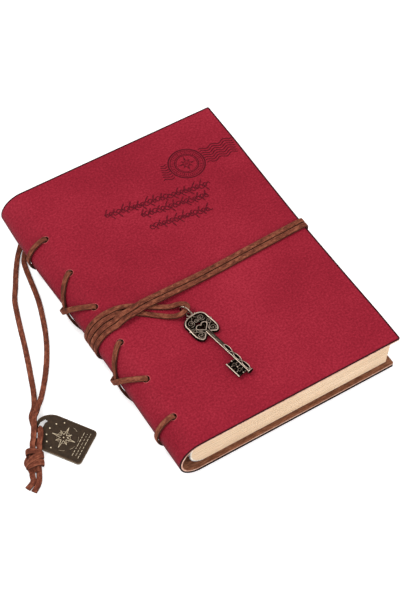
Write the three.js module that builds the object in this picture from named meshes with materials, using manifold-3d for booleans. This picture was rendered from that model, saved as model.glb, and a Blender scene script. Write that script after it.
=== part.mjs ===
// Laced leather diary with a wrap cord, a key charm and a tag charm.
// Millimetres, +Z up, +Y to the head of the book, +X to its fore-edge.
// The origin is the centre of the footprint, on the surface that the diary lies on.

import * as THREE from 'three';
import * as BufferGeometryUtils from 'three/addons/utils/BufferGeometryUtils.js';
import Module from 'manifold-3d';

const wasm = await Module();
wasm.setup();

// Covers
const coverHeight = 185;
const coverWidth = 132;
const bookThickness = 23.7;
const skinThickness = 0.8;
const liningThickness = 0.8;
const backCoverSetback = 1.5;
const coverCornerRadius = 1;
const spineDepth = 12;
const foldGap = 0.1;

// Flat suede cord
const cordWidth = 3.0;
const cordThickness = 1.4;
const cordChamfer = 0.35;
const cordClearance = 0.2;
const seatGap = 0.3;

// Lacing along the spine
const holeCount = 6;
const holePitch = 26.22;
const firstHoleY = 58.4;
const holeFromSpine = 8.85;
const holeRadius = 2.1;
const tagHoleRadius = 2.7;
const laceBendRadius = 1.2;

// Text block and its clear jacket
const jacketThickness = 0.4;
const jacketGap = 0.3;
const pageOverhangHead = 2.0;
const pageOverhangFore = 3.0;
const blockSpineDepth = 8.8;
const blockSpineSetback = 7.7;
const splitGap = 0.3;

// Key charm
const keyLength = 49;
const keyThickness = 2.0;
const bowHalfWidth = 7.4;
const bowLength = 17.6;
const bowNotch = 0.4;
const bowWaist = 0.05;
const bowWire = 1.3;
const shankRadius = 1.35;
const collarStep = 0.4;
const bitThickness = 1.4;
const bitLength = 9.5;
const bitReach = 7.0;
const keyEyeRadius = 1.15;
const keyEyeWall = 0.75;
const keyRingRadius = 2.9;
const keyRingWire = 0.45;

// Tag charm
const tagWidth = 21.3;
const tagLength = 31;
const tagCrownHeight = 8.5;
const tagThickness = 1.5;
const tagCornerRadius = 2.2;
const tagBarWidth = 1.6;
const tagSlotWidth = 2.8;
const tagSlotLength = 12.7;
const tagRimHeight = 0.3;
const tagReliefHeight = 0.35;

// Heights, from the surface upwards
const backOuterZ = cordThickness + cordClearance;
const coverThickness = skinThickness + liningThickness;
const frontOuterZ = backOuterZ + bookThickness;
const midZ = (backOuterZ + frontOuterZ) / 2;

// Places along X. The crossed lace stands further proud at the spine than the wrap does at the
// fore-edge, so the covers sit off centre by half of the difference.
const crossProud = 2 * cordThickness + cordClearance + seatGap;
const edgeProud = cordThickness + cordClearance;
const spineX = -coverWidth / 2 + (crossProud - edgeProud) / 2;
const foreX = spineX + coverWidth;
const flatStartX = spineX + spineDepth;
const halfHeight = coverHeight / 2;
const spineHalfRise = bookThickness / 2;

// Colours
const crimson = 0x9b2334;
const suedeBrown = 0x965a40;
const liningBrown = 0xa06a50;
const pageCream = 0xe6cda6;
const clearPlastic = 0xd9dcdc;
const antiqueBronze = 0x5a4a36;

const diary = new THREE.Group();
diary.name = 'diary';

function finish(color, roughness, metalness = 0, opacity = 1) {
  return new THREE.MeshStandardMaterial({ color, roughness, metalness, opacity, transparent: opacity < 1 });
}

const materials = {
  skin: finish(crimson, 0.62),
  lining: finish(liningBrown, 0.85),
  cord: finish(suedeBrown, 0.92),
  paper: finish(pageCream, 0.9),
  jacket: finish(clearPlastic, 0.25, 0, 0.5),
  bronze: finish(antiqueBronze, 0.42, 0.9),
};

function addPart(name, geometry, material) {
  const mesh = new THREE.Mesh(geometry, materials[material]);
  mesh.name = name;
  diary.add(mesh);
  return mesh;
}

// Solids from and to meshes, for the boolean cuts and joins.

function toSolid(geometry) {
  const bare = geometry.clone();
  bare.deleteAttribute('normal');
  bare.deleteAttribute('uv');
  const merged = BufferGeometryUtils.mergeVertices(bare, 1e-4);
  const mesh = new wasm.Mesh({
    numProp: 3,
    vertProperties: Float32Array.from(merged.attributes.position.array),
    triVerts: Uint32Array.from(merged.index.array),
  });
  return new wasm.Manifold(mesh);
}

function toGeometry(solid) {
  const mesh = solid.getMesh();
  const geometry = new THREE.BufferGeometry();
  geometry.setAttribute('position', new THREE.BufferAttribute(Float32Array.from(mesh.vertProperties), 3));
  geometry.setIndex(new THREE.BufferAttribute(Uint32Array.from(mesh.triVerts), 1));
  geometry.computeVertexNormals();
  return geometry;
}

function join(geometries) {
  return geometries.map(toSolid).reduce((sum, solid) => sum.add(solid));
}

// A shape drawn in X and Z, extruded along Y from y0 to y1.
function extrudeAlongY(shape, y0, y1) {
  const geometry = new THREE.ExtrudeGeometry(shape, { depth: y1 - y0, bevelEnabled: false, curveSegments: 12 });
  geometry.rotateX(Math.PI / 2);
  geometry.translate(0, y1, 0);
  return geometry;
}

// A flat sheet with rounded corners at the fore-edge.
function coverSheet(x0, x1, z0, thickness) {
  const r = coverCornerRadius;
  const shape = new THREE.Shape();
  shape.moveTo(x0, -halfHeight);
  shape.lineTo(x1 - r, -halfHeight);
  shape.absarc(x1 - r, -halfHeight + r, r, -Math.PI / 2, 0, false);
  shape.lineTo(x1, halfHeight - r);
  shape.absarc(x1 - r, halfHeight - r, r, 0, Math.PI / 2, false);
  shape.lineTo(x0, halfHeight);
  shape.closePath();
  const geometry = new THREE.ExtrudeGeometry(shape, { depth: thickness, bevelEnabled: false, curveSegments: 8 });
  geometry.translate(0, 0, z0);
  return geometry;
}

// The rounded spine. turn runs from 0 at the front fold to PI at the back fold.

function spineNormal(turn) {
  return new THREE.Vector3(-Math.sin(turn) / spineDepth, 0, Math.cos(turn) / spineHalfRise).normalize();
}

function spinePoint(turn, y, proud) {
  const base = new THREE.Vector3(
    flatStartX - spineDepth * Math.sin(turn), y, midZ + spineHalfRise * Math.cos(turn));
  return base.addScaledVector(spineNormal(turn), proud);
}

function spineBand(outerProud, thickness, steps = 16) {
  const outer = [];
  const inner = [];
  for (let i = 0; i <= steps; i++) {
    const turn = Math.PI * i / steps;
    const a = spinePoint(turn, 0, outerProud);
    const b = spinePoint(turn, 0, outerProud - thickness);
    outer.push(new THREE.Vector2(a.x - foldGap, a.z));
    inner.push(new THREE.Vector2(b.x - foldGap, b.z));
  }
  return extrudeAlongY(new THREE.Shape(outer.concat(inner.reverse())), -halfHeight, halfHeight);
}

// A flat cord swept along points, lying with its flat side to the given normals.
function sweepCord(points, normals, width = cordWidth, thickness = cordThickness) {
  const w = width / 2;
  const h = thickness / 2;
  const c = Math.min(cordChamfer, h * 0.8);
  const section = [
    [w, -h + c], [w, h - c], [w - c, h], [-w + c, h], [-w, h - c], [-w, -h + c], [-w + c, -h], [w - c, -h],
  ];
  const count = section.length;
  const positions = [];
  points.forEach((point, i) => {
    const before = points[Math.max(i - 1, 0)];
    const after = points[Math.min(i + 1, points.length - 1)];
    const tangent = after.clone().sub(before).normalize();
    const side = tangent.clone().cross(normals[i]).normalize();
    const up = side.clone().cross(tangent).normalize();
    for (const [a, b] of section) {
      const p = point.clone().addScaledVector(side, a).addScaledVector(up, b);
      positions.push(p.x, p.y, p.z);
    }
  });
  const index = [];
  for (let i = 0; i < points.length - 1; i++) {
    for (let j = 0; j < count; j++) {
      const a = i * count + j;
      const b = i * count + (j + 1) % count;
      index.push(a, b, b + count, a, b + count, a + count);
    }
  }
  const last = (points.length - 1) * count;
  for (let j = 1; j < count - 1; j++) {
    index.push(0, j + 1, j);
    index.push(last, last + j, last + j + 1);
  }
  const geometry = new THREE.BufferGeometry();
  geometry.setAttribute('position', new THREE.BufferAttribute(new Float32Array(positions), 3));
  geometry.setIndex(index);
  if (toSolid(geometry).volume() < 0) {
    for (let k = 0; k < index.length; k += 3) [index[k + 1], index[k + 2]] = [index[k + 2], index[k + 1]];
    geometry.setIndex(index);
  }
  return geometry;
}

// A point of a route given as distance from the spine, Y and Z.
function at(fromSpine, y, z) {
  return new THREE.Vector3(spineX + fromSpine, y, z);
}

function smoothPoints(points, steps) {
  return new THREE.CatmullRomCurve3(points, false, 'centripetal').getPoints(steps);
}

function flatCord(points, steps) {
  const route = smoothPoints(points, steps);
  return sweepCord(route, route.map(() => new THREE.Vector3(0, 0, 1)));
}

function bump(distance, flat, ramp) {
  const t = Math.min(Math.max((Math.abs(distance) - flat) / ramp, 0), 1);
  return 0.5 + 0.5 * Math.cos(Math.PI * t);
}

// Covers: crimson skin and suede lining, front and back.

const backForeX = foreX - backCoverSetback;
addPart('front_cover', coverSheet(flatStartX, foreX, frontOuterZ - skinThickness, skinThickness), 'skin');
addPart('front_lining', coverSheet(flatStartX, foreX, frontOuterZ - coverThickness, liningThickness), 'lining');
addPart('back_cover', coverSheet(flatStartX, backForeX, backOuterZ, skinThickness), 'skin');
addPart('back_lining', coverSheet(flatStartX, backForeX, backOuterZ + skinThickness, liningThickness), 'lining');

// Holes: six on each side of the spine, and one more at the head of the back for the tag cord.

const holeTurn = Math.asin((spineDepth - holeFromSpine) / spineDepth);
const backHoleTurn = Math.PI - holeTurn;
const holeYs = Array.from({ length: holeCount }, (_, i) => firstHoleY - i * holePitch);
const tagHoleY = firstHoleY + holePitch;
const wrapStartTurn = 2.35;
const wrapStartY = -9.8;
const wrapHoleRadius = 3.6;

function radialDrill(turn, y, radius) {
  const drill = new THREE.CylinderGeometry(radius, radius, 4 * coverThickness, 12);
  const upright = new THREE.Vector3(0, 1, 0);
  drill.applyQuaternion(new THREE.Quaternion().setFromUnitVectors(upright, spineNormal(turn)));
  const place = spinePoint(turn, y, -coverThickness / 2);
  drill.translate(place.x, place.y, place.z);
  return toSolid(drill);
}

const drills = [];
for (const y of holeYs) {
  drills.push(radialDrill(holeTurn, y, holeRadius));
  drills.push(radialDrill(backHoleTurn, y, holeRadius));
}
drills.push(radialDrill(backHoleTurn, tagHoleY, tagHoleRadius));
drills.push(radialDrill(wrapStartTurn, wrapStartY, wrapHoleRadius));

function punched(band) {
  return toGeometry(drills.reduce((solid, drill) => solid.subtract(drill), toSolid(band)));
}

addPart('spine_leather', punched(spineBand(0, skinThickness)), 'skin');
addPart('spine_lining', punched(spineBand(-skinThickness, liningThickness)), 'lining');

// Text block in two halves, its glued backing and the clear jacket round it.

const innerBackZ = backOuterZ + coverThickness;
const innerFrontZ = frontOuterZ - coverThickness;
const blockBottomZ = innerBackZ + 2 * jacketGap + jacketThickness;
const blockTopZ = innerFrontZ - 2 * jacketGap - jacketThickness;
const blockHalfRise = (blockTopZ - blockBottomZ) / 2;
const blockSpineX = spineX + blockSpineSetback;
const blockFlatX = blockSpineX + blockSpineDepth;
const blockForeX = backForeX - pageOverhangFore;
const blockHalfHeight = halfHeight - pageOverhangHead;
const jacketForeX = blockForeX + 1;
const jacketHalfHeight = blockHalfHeight + 0.5;

function blockHalf(sign) {
  const steps = 10;
  const firstTurn = Math.acos((splitGap / 2) / blockHalfRise);
  const shape = new THREE.Shape();
  shape.moveTo(blockForeX, midZ + sign * splitGap / 2);
  shape.lineTo(blockForeX, midZ + sign * blockHalfRise);
  for (let i = 0; i <= steps; i++) {
    const turn = firstTurn * i / steps;
    const x = blockFlatX - blockSpineDepth * Math.sin(turn);
    shape.lineTo(x, midZ + sign * blockHalfRise * Math.cos(turn));
  }
  shape.closePath();
  return extrudeAlongY(shape, -blockHalfHeight, blockHalfHeight);
}

function blockWrapBand(gap, thickness, length) {
  const steps = 14;
  const outer = [];
  const inner = [];
  for (let i = 0; i <= steps; i++) {
    const turn = Math.PI * i / steps;
    for (const [list, grow] of [[outer, gap + thickness], [inner, gap]]) {
      list.push(new THREE.Vector2(
        blockFlatX - foldGap - (blockSpineDepth + grow) * Math.sin(turn),
        midZ + (blockHalfRise + grow) * Math.cos(turn)));
    }
  }
  return extrudeAlongY(new THREE.Shape(outer.concat(inner.reverse())), -length, length);
}

function jacketSheet(z0) {
  const shape = new THREE.Shape();
  shape.moveTo(blockFlatX, z0);
  shape.lineTo(jacketForeX, z0);
  shape.lineTo(jacketForeX, z0 + jacketThickness);
  shape.lineTo(blockFlatX, z0 + jacketThickness);
  shape.closePath();
  return extrudeAlongY(shape, -jacketHalfHeight, jacketHalfHeight);
}

addPart('front_pages', blockHalf(1), 'paper');
addPart('back_pages', blockHalf(-1), 'paper');
addPart('jacket_front', jacketSheet(blockTopZ + jacketGap), 'jacket');
addPart('jacket_back', jacketSheet(blockBottomZ - jacketGap - jacketThickness), 'jacket');
addPart('jacket_spine', blockWrapBand(jacketGap, jacketThickness, jacketHalfHeight), 'jacket');

// Lacing. Each outer stretch comes up through a hole, goes round the spine and down another.

const outerProud = cordClearance + cordThickness / 2;
const innerProud = -(coverThickness + 2 * seatGap + cordThickness / 2);
const throughProud = -coverThickness;
const laceLift = 0.12;
const crossLift = cordThickness + seatGap - laceLift;

function outerLace(backY, frontY, lift) {
  const steps = 10;
  const margin = 0.2;
  const firstTurn = backHoleTurn - margin;
  const lastTurn = holeTurn + margin;
  const surface = [];
  for (let i = 0; i <= steps; i++) {
    const share = i / steps;
    const turn = firstTurn + (lastTurn - firstTurn) * share;
    const y = backY + (frontY - backY) * (0.06 + 0.88 * share);
    const proud = outerProud + laceLift + lift * bump(turn - Math.PI / 2, 0.42, 0.5);
    surface.push({ point: spinePoint(turn, y, proud), normal: spineNormal(turn) });
  }
  const start = bendThrough(backHoleTurn, backY, surface[0].point);
  const end = bendThrough(holeTurn, frontY, surface[steps].point).reverse();
  const route = [...start, ...surface, ...end];
  return sweepCord(route.map((r) => r.point), route.map((r) => r.normal));
}

function bendThrough(turn, y, towards) {
  const up = spineNormal(turn);
  const foot = spinePoint(turn, y, 0);
  const along = towards.clone().sub(foot);
  along.addScaledVector(up, -along.dot(up)).normalize();
  const bend = [{ point: foot.clone().addScaledVector(up, throughProud), normal: along.clone().negate() }];
  const low = outerProud - laceBendRadius;
  for (const angle of [0, Math.PI / 6, Math.PI / 3]) {
    const point = foot.clone()
      .addScaledVector(along, laceBendRadius * (1 - Math.cos(angle)))
      .addScaledVector(up, low + laceBendRadius * Math.sin(angle));
    const normal = up.clone().multiplyScalar(Math.sin(angle)).addScaledVector(along, -Math.cos(angle));
    bend.push({ point, normal });
  }
  return bend;
}

const [y1, y2, y3, y4, y5, y6] = holeYs;
addPart('lace_outer_1', outerLace(y1, y1, 0), 'cord');
addPart('lace_outer_2', outerLace(y3, y2, 0), 'cord');
addPart('lace_outer_3', outerLace(y2, y3, crossLift), 'cord');
addPart('lace_outer_4', outerLace(y5, y4, 0), 'cord');
addPart('lace_outer_5', outerLace(y4, y5, crossLift), 'cord');
addPart('lace_outer_6', outerLace(y6, y6, 0), 'cord');

// Inner runs of the lace, along the lining from hole to hole.
function innerLace(turn, fromY, toY) {
  const reach = cordWidth / 2 * Math.sign(toY - fromY);
  const ends = [fromY - reach, toY + reach];
  const points = ends.map((y) => spinePoint(turn, y, innerProud));
  return sweepCord(points, points.map(() => spineNormal(turn)));
}

addPart('lace_inner_front_1', innerLace(holeTurn, y1, y2), 'cord');
addPart('lace_inner_front_2', innerLace(holeTurn, y3, y4), 'cord');
addPart('lace_inner_front_3', innerLace(holeTurn, y5, y6), 'cord');
addPart('lace_inner_back_1', innerLace(backHoleTurn, y2, y3), 'cord');
addPart('lace_inner_back_2', innerLace(backHoleTurn, y4, y5), 'cord');
addPart('lace_inner_head', innerLace(backHoleTurn, y1, tagHoleY), 'cord');

const returnTurn = 1.75;
addPart('lace_inner_return', innerLace(returnTurn, y6, tagHoleY), 'cord');

// Wrap cord: a doubled cord that starts inside the spine, crosses the front, rounds the
// fore-edge, runs back under the book, rounds the spine again and ends in a loop at the key.

const strandGap = 0.3;
const strandPitch = cordWidth + strandGap;
const wrapFrontZ = frontOuterZ + cordClearance + cordThickness / 2;
const wrapUnderZ = cordThickness / 2;
const wrapOverZ = wrapFrontZ + cordThickness + seatGap;
const wrapStartYs = [wrapStartY + strandPitch / 2, wrapStartY - strandPitch / 2];
const wrapSpineYs = [-1.4, -1.4 - strandPitch];
const wrapForeYs = [-3.4, -3.4 - strandPitch];
const strands = ['a', 'b'];

function wrapRound(firstTurn, lastTurn, y, firstProud) {
  const steps = 12;
  const route = [];
  for (let i = 0; i <= steps; i++) {
    const turn = firstTurn + (lastTurn - firstTurn) * i / steps;
    route.push({ point: spinePoint(turn, y, outerProud), normal: spineNormal(turn) });
  }
  if (firstProud !== undefined) {
    const bend = bendThrough(firstTurn, y, route[1].point);
    route.splice(0, 2, ...bend);
  }
  const shift = new THREE.Vector3(-foldGap, 0, 0);
  return sweepCord(route.map((r) => r.point.add(shift)), route.map((r) => r.normal));
}

const wrapCentre = [[15.5, -9.6], [18.5, -9.0], [30.5, -7.8], [42.5, -7.6], [68, -7.1], [98.5, -6.0], [126, -5.1]];
const wrapEdgeStart = 127;

strands.forEach((strand, i) => {
  const offset = (0.5 - i) * strandPitch;
  const points = [at(spineDepth + cordClearance, wrapStartYs[i], wrapFrontZ)];
  for (const [fromSpine, y] of wrapCentre) {
    const lift = bump(fromSpine - 28.5, 12, 6) * (wrapOverZ - wrapFrontZ);
    points.push(at(fromSpine, y + offset, wrapFrontZ + lift));
  }
  points.splice(3, 0, at(22, wrapCentre[1][1] + 0.2 + offset, wrapOverZ));
  points.push(at(wrapEdgeStart - cordClearance, wrapForeYs[i], wrapFrontZ));
  addPart(`wrap_front_${strand}`, flatCord(points, 28), 'cord');
});

// Round the front cover's edge and down to the back cover's edge.
const edgeBend = 1.25;

function edgeStretch(y) {
  const outX = foreX + cordClearance + cordThickness / 2;
  const topZ = wrapFrontZ;
  const centreX = outX - edgeBend;
  const route = [{
    point: new THREE.Vector3(spineX + wrapEdgeStart + foldGap, y, topZ),
    normal: new THREE.Vector3(0, 0, 1),
  }];
  for (let i = 0; i <= 5; i++) {
    const angle = Math.PI / 2 * (1 - i / 5);
    const normal = new THREE.Vector3(Math.cos(angle), 0, Math.sin(angle));
    const centre = new THREE.Vector3(centreX, y, topZ - edgeBend);
    route.push({ point: centre.addScaledVector(normal, edgeBend), normal });
  }
  for (const z of [midZ, wrapUnderZ + edgeBend + foldGap]) {
    route.push({ point: new THREE.Vector3(outX, y, z), normal: new THREE.Vector3(1, 0, 0) });
  }
  return sweepCord(route.map((r) => r.point), route.map((r) => r.normal));
}

function underStretch(foreY, spineY) {
  const outX = foreX + cordClearance + cordThickness / 2;
  const centre = new THREE.Vector3(outX - edgeBend, foreY, wrapUnderZ + edgeBend);
  const route = [];
  for (let i = 0; i <= 5; i++) {
    const angle = -Math.PI / 2 * (i / 5);
    const normal = new THREE.Vector3(Math.cos(angle), 0, Math.sin(angle));
    route.push({ point: centre.clone().addScaledVector(normal, edgeBend), normal });
  }
  const down = new THREE.Vector3(0, 0, -1);
  route.push({ point: new THREE.Vector3(backForeX - 20, foreY, wrapUnderZ), normal: down });
  route.push({ point: new THREE.Vector3(flatStartX + 12, spineY, wrapUnderZ), normal: down });
  route.push({ point: new THREE.Vector3(flatStartX + foldGap, spineY, wrapUnderZ), normal: down });
  return sweepCord(route.map((r) => r.point), route.map((r) => r.normal));
}

strands.forEach((strand, i) => {
  addPart(`wrap_edge_${strand}`, edgeStretch(wrapForeYs[i]), 'cord');
  addPart(`wrap_under_${strand}`, underStretch(wrapForeYs[i], wrapSpineYs[i]), 'cord');
  addPart(`wrap_spine_${strand}`, wrapRound(Math.PI, 0, wrapSpineYs[i]), 'cord');
  addPart(`wrap_start_${strand}`, wrapRound(wrapStartTurn, 0, wrapStartYs[i], throughProud), 'cord');
});

// The stopper knot that holds both starts of the wrap cord, inside the lining.
function stopperKnot() {
  const knotThickness = 2.0;
  const normal = spineNormal(wrapStartTurn);
  const ends = [wrapStartY - strandPitch, wrapStartY + strandPitch];
  const points = ends.map((y) => spinePoint(wrapStartTurn, y, throughProud - seatGap - knotThickness / 2));
  return sweepCord(points, points.map(() => normal), 3.6, knotThickness);
}

addPart('wrap_stopper_knot', stopperKnot(), 'cord');

// The last stretch on the front cover: down one strand, through the key ring, back up the other.

const keyRingZ = frontOuterZ + cordClearance + keyRingWire + keyRingRadius;
const keyRingPlace = at(46.2, -23.2, keyRingZ);
const keyRingHeading = new THREE.Vector2(0.5, -0.866).normalize();
const keyCordRoute = [
  at(12.1, wrapSpineYs[0], wrapFrontZ),
  at(18.0, -1.8, wrapFrontZ),
  at(23.8, -3.9, wrapFrontZ),
  at(30.6, -8.3, wrapFrontZ),
  at(36.8, -12.7, wrapFrontZ),
  at(41.8, -15.7, wrapFrontZ + 0.6),
  at(46.2, -17.6, wrapFrontZ + 1.9),
  at(48.7, -20.0, keyRingZ - 0.2),
  at(48.4, -22.0, keyRingZ),
  at(46.2, -23.2, keyRingZ),
  at(43.0, -23.6, keyRingZ - 0.7),
  at(38.6, -21.2, wrapFrontZ + 0.6),
  at(33.6, -16.9, wrapFrontZ),
  at(28.2, -12.4, wrapFrontZ),
  at(22.0, -7.9, wrapFrontZ),
  at(16.5, -4.9, wrapFrontZ),
  at(12.1, wrapSpineYs[1], wrapFrontZ),
];
addPart('wrap_key_loop', flatCord(keyCordRoute, 50), 'cord');

const ringGeometry = new THREE.TorusGeometry(keyRingRadius, keyRingWire, 6, 18);
ringGeometry.rotateX(Math.PI / 2);
const keyRing = addPart('key_ring', ringGeometry, 'bronze');
keyRing.position.copy(keyRingPlace);
keyRing.rotation.z = Math.atan2(keyRingHeading.y, keyRingHeading.x);

// Key charm, drawn along its own axis: s from the eye to the tip, w across, and then placed.

function ringShape(radiusOut, radiusIn, x = 0, y = 0, squash = 1) {
  const shape = new THREE.Shape();
  shape.absellipse(x, y, radiusOut, radiusOut * squash, 0, 2 * Math.PI, false);
  const hole = new THREE.Path();
  hole.absellipse(x, y, radiusIn, radiusOut * squash - (radiusOut - radiusIn), 0, 2 * Math.PI, false);
  shape.holes.push(hole);
  return shape;
}

function plate(shape, z0, z1, segments = 8) {
  const geometry = new THREE.ExtrudeGeometry(shape, {
    depth: z1 - z0, bevelEnabled: false, curveSegments: segments,
  });
  geometry.translate(0, 0, z0);
  return geometry;
}

// A loop of flat wire whose outer edge comes from a formula, with a like hole round a centre.
function wireLoop(edge, centre, holeShare, steps, z0, z1) {
  const outer = [];
  const inner = [];
  for (let i = 0; i < steps; i++) {
    const p = edge(2 * Math.PI * (i + 0.5) / steps);
    outer.push(p);
    inner.push(p.clone().sub(centre).multiplyScalar(holeShare).add(centre));
  }
  const disc = toSolid(plate(new THREE.Shape(outer), z0, z1));
  return disc.subtract(toSolid(plate(new THREE.Shape(inner), z0 - 1, z1 + 1)));
}

const bowCentre = keyEyeRadius + keyEyeWall + bowLength / 2 - 0.9;
const bowEndS = bowCentre + bowLength / 2;

// The bow is a rounded square with a slight waist and a notch where the shank leaves it.
function bowEdge(angle) {
  const along = Math.cos(angle);
  const across = Math.sin(angle);
  const notch = 1 - bowNotch * Math.exp((along - 1) / 0.08);
  const waist = 1 - bowWaist * Math.exp(-Math.pow(along + 0.12, 2) / 0.03);
  return new THREE.Vector2(
    bowCentre + bowLength / 2 * Math.sign(along) * Math.pow(Math.abs(along), 0.6) * notch,
    bowHalfWidth * Math.sign(across) * Math.pow(Math.abs(across), 0.72) * waist);
}

function heartEdge(angle) {
  const size = bowHalfWidth * 0.36 / 16;
  const across = 16 * Math.pow(Math.sin(angle), 3);
  const along = 13 * Math.cos(angle) - 5 * Math.cos(2 * angle) - 2 * Math.cos(3 * angle) - Math.cos(4 * angle);
  return new THREE.Vector2(bowCentre + 0.6 - size * along * 1.15, size * across * 1.35);
}

function keyCharm() {
  const top = keyThickness;
  const low = 0.3;
  const thin = keyThickness - 0.3;
  const stemZ = shankRadius + collarStep;
  const solids = [];
  solids.push(plate(ringShape(keyEyeRadius + keyEyeWall, keyEyeRadius), top - 0.9, top));
  const centre = new THREE.Vector2(bowCentre, 0);
  const bowLoop = wireLoop(bowEdge, centre, 1 - bowWire / bowHalfWidth, 36, low, top);
  const heartLoop = wireLoop(heartEdge, centre, 0.62, 22, low, thin);
  for (const side of [-1, 1]) {
    const scrolls = [
      [bowCentre - 4.6, 3.4, 2.3], [bowCentre + 0.2, 5.0, 1.9], [bowCentre + 4.3, 4.0, 2.6],
    ];
    for (const [s, w, r] of scrolls) {
      solids.push(plate(ringShape(r, r - bowWire * 0.75, s, side * w), low, thin, 5));
    }
  }
  const tip = keyLength - keyEyeRadius - keyEyeWall;
  const stem = new THREE.CylinderGeometry(shankRadius, shankRadius, tip - bowEndS + 4.5, 12);
  stem.rotateZ(Math.PI / 2);
  stem.translate((tip + bowEndS - 4.5) / 2, 0, stemZ);
  solids.push(stem);
  for (const s of [bowEndS + 0.6, tip - bitLength - 8.5, tip - 0.9]) {
    const collar = new THREE.CylinderGeometry(shankRadius + collarStep, shankRadius + collarStep, 1.1, 12);
    collar.rotateZ(Math.PI / 2);
    collar.translate(s, 0, stemZ);
    solids.push(collar);
  }
  const bitStart = tip - 1.6 - bitLength;
  const bit = new THREE.BoxGeometry(bitLength, bitReach, bitThickness);
  bit.translate(bitStart + bitLength / 2, -bitReach / 2, stemZ);
  solids.push(bit);
  let key = join(solids).add(bowLoop).add(heartLoop);
  const eyeDrill = new THREE.CylinderGeometry(keyEyeRadius, keyEyeRadius, 4 * keyThickness, 16);
  eyeDrill.rotateX(Math.PI / 2);
  key = key.subtract(toSolid(eyeDrill));
  for (const s of [2.5, 7.0]) {
    for (const w of [2.7, 5.0]) {
      const window = new THREE.BoxGeometry(2.6, 1.5, 2 * keyThickness);
      window.translate(bitStart + s, -w, stemZ);
      key = key.subtract(toSolid(window));
    }
  }
  for (let i = 0; i < 3; i++) {
    const recess = new THREE.BoxGeometry(2.3, 1.5, 1.0);
    recess.translate(tip - bitLength - 6.2 + i * 4.6, 0, stemZ + shankRadius);
    key = key.subtract(toSolid(recess));
  }
  return toGeometry(key);
}

const keyEyeReach = 2.35;
const keyEyePlace = new THREE.Vector3(
  keyRingPlace.x + keyEyeReach * keyRingHeading.x,
  keyRingPlace.y + keyEyeReach * keyRingHeading.y,
  frontOuterZ + seatGap);
const keyTurn = Math.atan2(-0.985, 0.175);
const keyLift = 0.3;
const keyTilt = Math.atan2(keyLift, keyLength);
const key = addPart('key_charm', keyCharm(), 'bronze');
key.rotation.set(0, keyTilt, keyTurn, 'ZYX');
key.position.copy(keyEyePlace).add(new THREE.Vector3(0, 0, keyLift));

// Tag charm, drawn with a along its axis from the crown and o across, then placed and tilted.

const tagHalf = tagWidth / 2;

function tagOutline(inset) {
  const w = tagHalf - inset;
  const far = tagLength - inset;
  const r = Math.max(tagCornerRadius - inset, 0.4);
  const crown = inset;
  const shoulder = tagCrownHeight + inset * 0.4;
  const shape = new THREE.Shape();
  shape.moveTo(far - r, -w);
  shape.absarc(far - r, -w + r, r, -Math.PI / 2, 0, false);
  shape.lineTo(far, w - r);
  shape.absarc(far - r, w - r, r, 0, Math.PI / 2, false);
  shape.lineTo(shoulder, w);
  shape.bezierCurveTo(shoulder - 3.4, w, crown, w * 0.72, crown, w * 0.3);
  shape.lineTo(crown, -w * 0.3);
  shape.bezierCurveTo(crown, -w * 0.72, shoulder - 3.4, -w, shoulder, -w);
  shape.closePath();
  return shape;
}

function tagSlot() {
  const half = tagSlotLength / 2;
  const near = tagBarWidth;
  const slot = new THREE.Path();
  slot.moveTo(near, -half + 2.6);
  slot.lineTo(near, half - 2.6);
  slot.lineTo(near + 1.6, half);
  slot.lineTo(near + tagSlotWidth + 1.0, half - 0.6);
  slot.lineTo(near + tagSlotWidth, half - 2.6);
  slot.lineTo(near + tagSlotWidth, -half + 2.6);
  slot.lineTo(near + tagSlotWidth + 1.0, -half + 0.6);
  slot.lineTo(near + 1.6, -half);
  slot.closePath();
  return slot;
}

function starShape(points, outer, inner, cx) {
  const shape = new THREE.Shape();
  for (let i = 0; i < 2 * points; i++) {
    const angle = Math.PI * i / points;
    const r = i % 2 === 0 ? (i % 4 === 0 ? outer : outer * 0.66) : inner;
    const x = cx + r * Math.cos(angle);
    const y = r * Math.sin(angle);
    if (i === 0) shape.moveTo(x, y);
    else shape.lineTo(x, y);
  }
  shape.closePath();
  return shape;
}

function tagCharm() {
  const baseTop = tagThickness - tagRimHeight;
  const sink = 0.2;
  const body = tagOutline(0);
  body.holes.push(tagSlot());
  const rim = tagOutline(0);
  rim.holes.push(new THREE.Path(tagOutline(0.8).getPoints(8)));
  const emblemA = 16.8;
  const solids = [
    plate(body, 0, baseTop),
    plate(starShape(8, 6.0, 1.7, emblemA), baseTop - sink, baseTop + tagReliefHeight),
    plate(ringShape(3.9, 3.2, emblemA, 0), baseTop - sink, baseTop + tagReliefHeight * 0.6),
  ];
  for (let i = 0; i < 7; i++) {
    const angle = Math.PI * (0.62 + 0.76 * i / 6);
    const dot = new THREE.CylinderGeometry(0.45, 0.6, tagReliefHeight + sink, 8);
    dot.rotateX(Math.PI / 2);
    dot.translate(emblemA + 8.3 * Math.cos(angle), 8.3 * Math.sin(angle), baseTop + (tagReliefHeight - sink) / 2);
    solids.push(dot);
  }
  for (const [a, half] of [[25.2, 7.4], [27.2, 5.2]]) {
    const bar = new THREE.BoxGeometry(0.7, 2 * half, tagReliefHeight + sink);
    bar.translate(a, 0, baseTop + (tagReliefHeight - sink) / 2);
    solids.push(bar);
  }
  const slotDrill = toSolid(plate(new THREE.Shape(tagSlot().getPoints()), -1, tagThickness + 1));
  return toGeometry(join(solids).add(toSolid(plate(rim, baseTop - sink, tagThickness))).subtract(slotDrill));
}

const tagAxis = new THREE.Vector2(0.575, -0.818).normalize();
const tagCrownPlace = at(-47.6, -28.6, 0);
const tagBarLift = cordThickness + seatGap;
const tagTilt = Math.asin(tagBarLift / tagLength);
const tag = addPart('tag_charm', tagCharm(), 'bronze');
tag.rotation.set(0, tagTilt, Math.atan2(tagAxis.y, tagAxis.x), 'ZYX');
tag.position.set(tagCrownPlace.x, tagCrownPlace.y, tagBarLift + 0.02);

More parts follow.
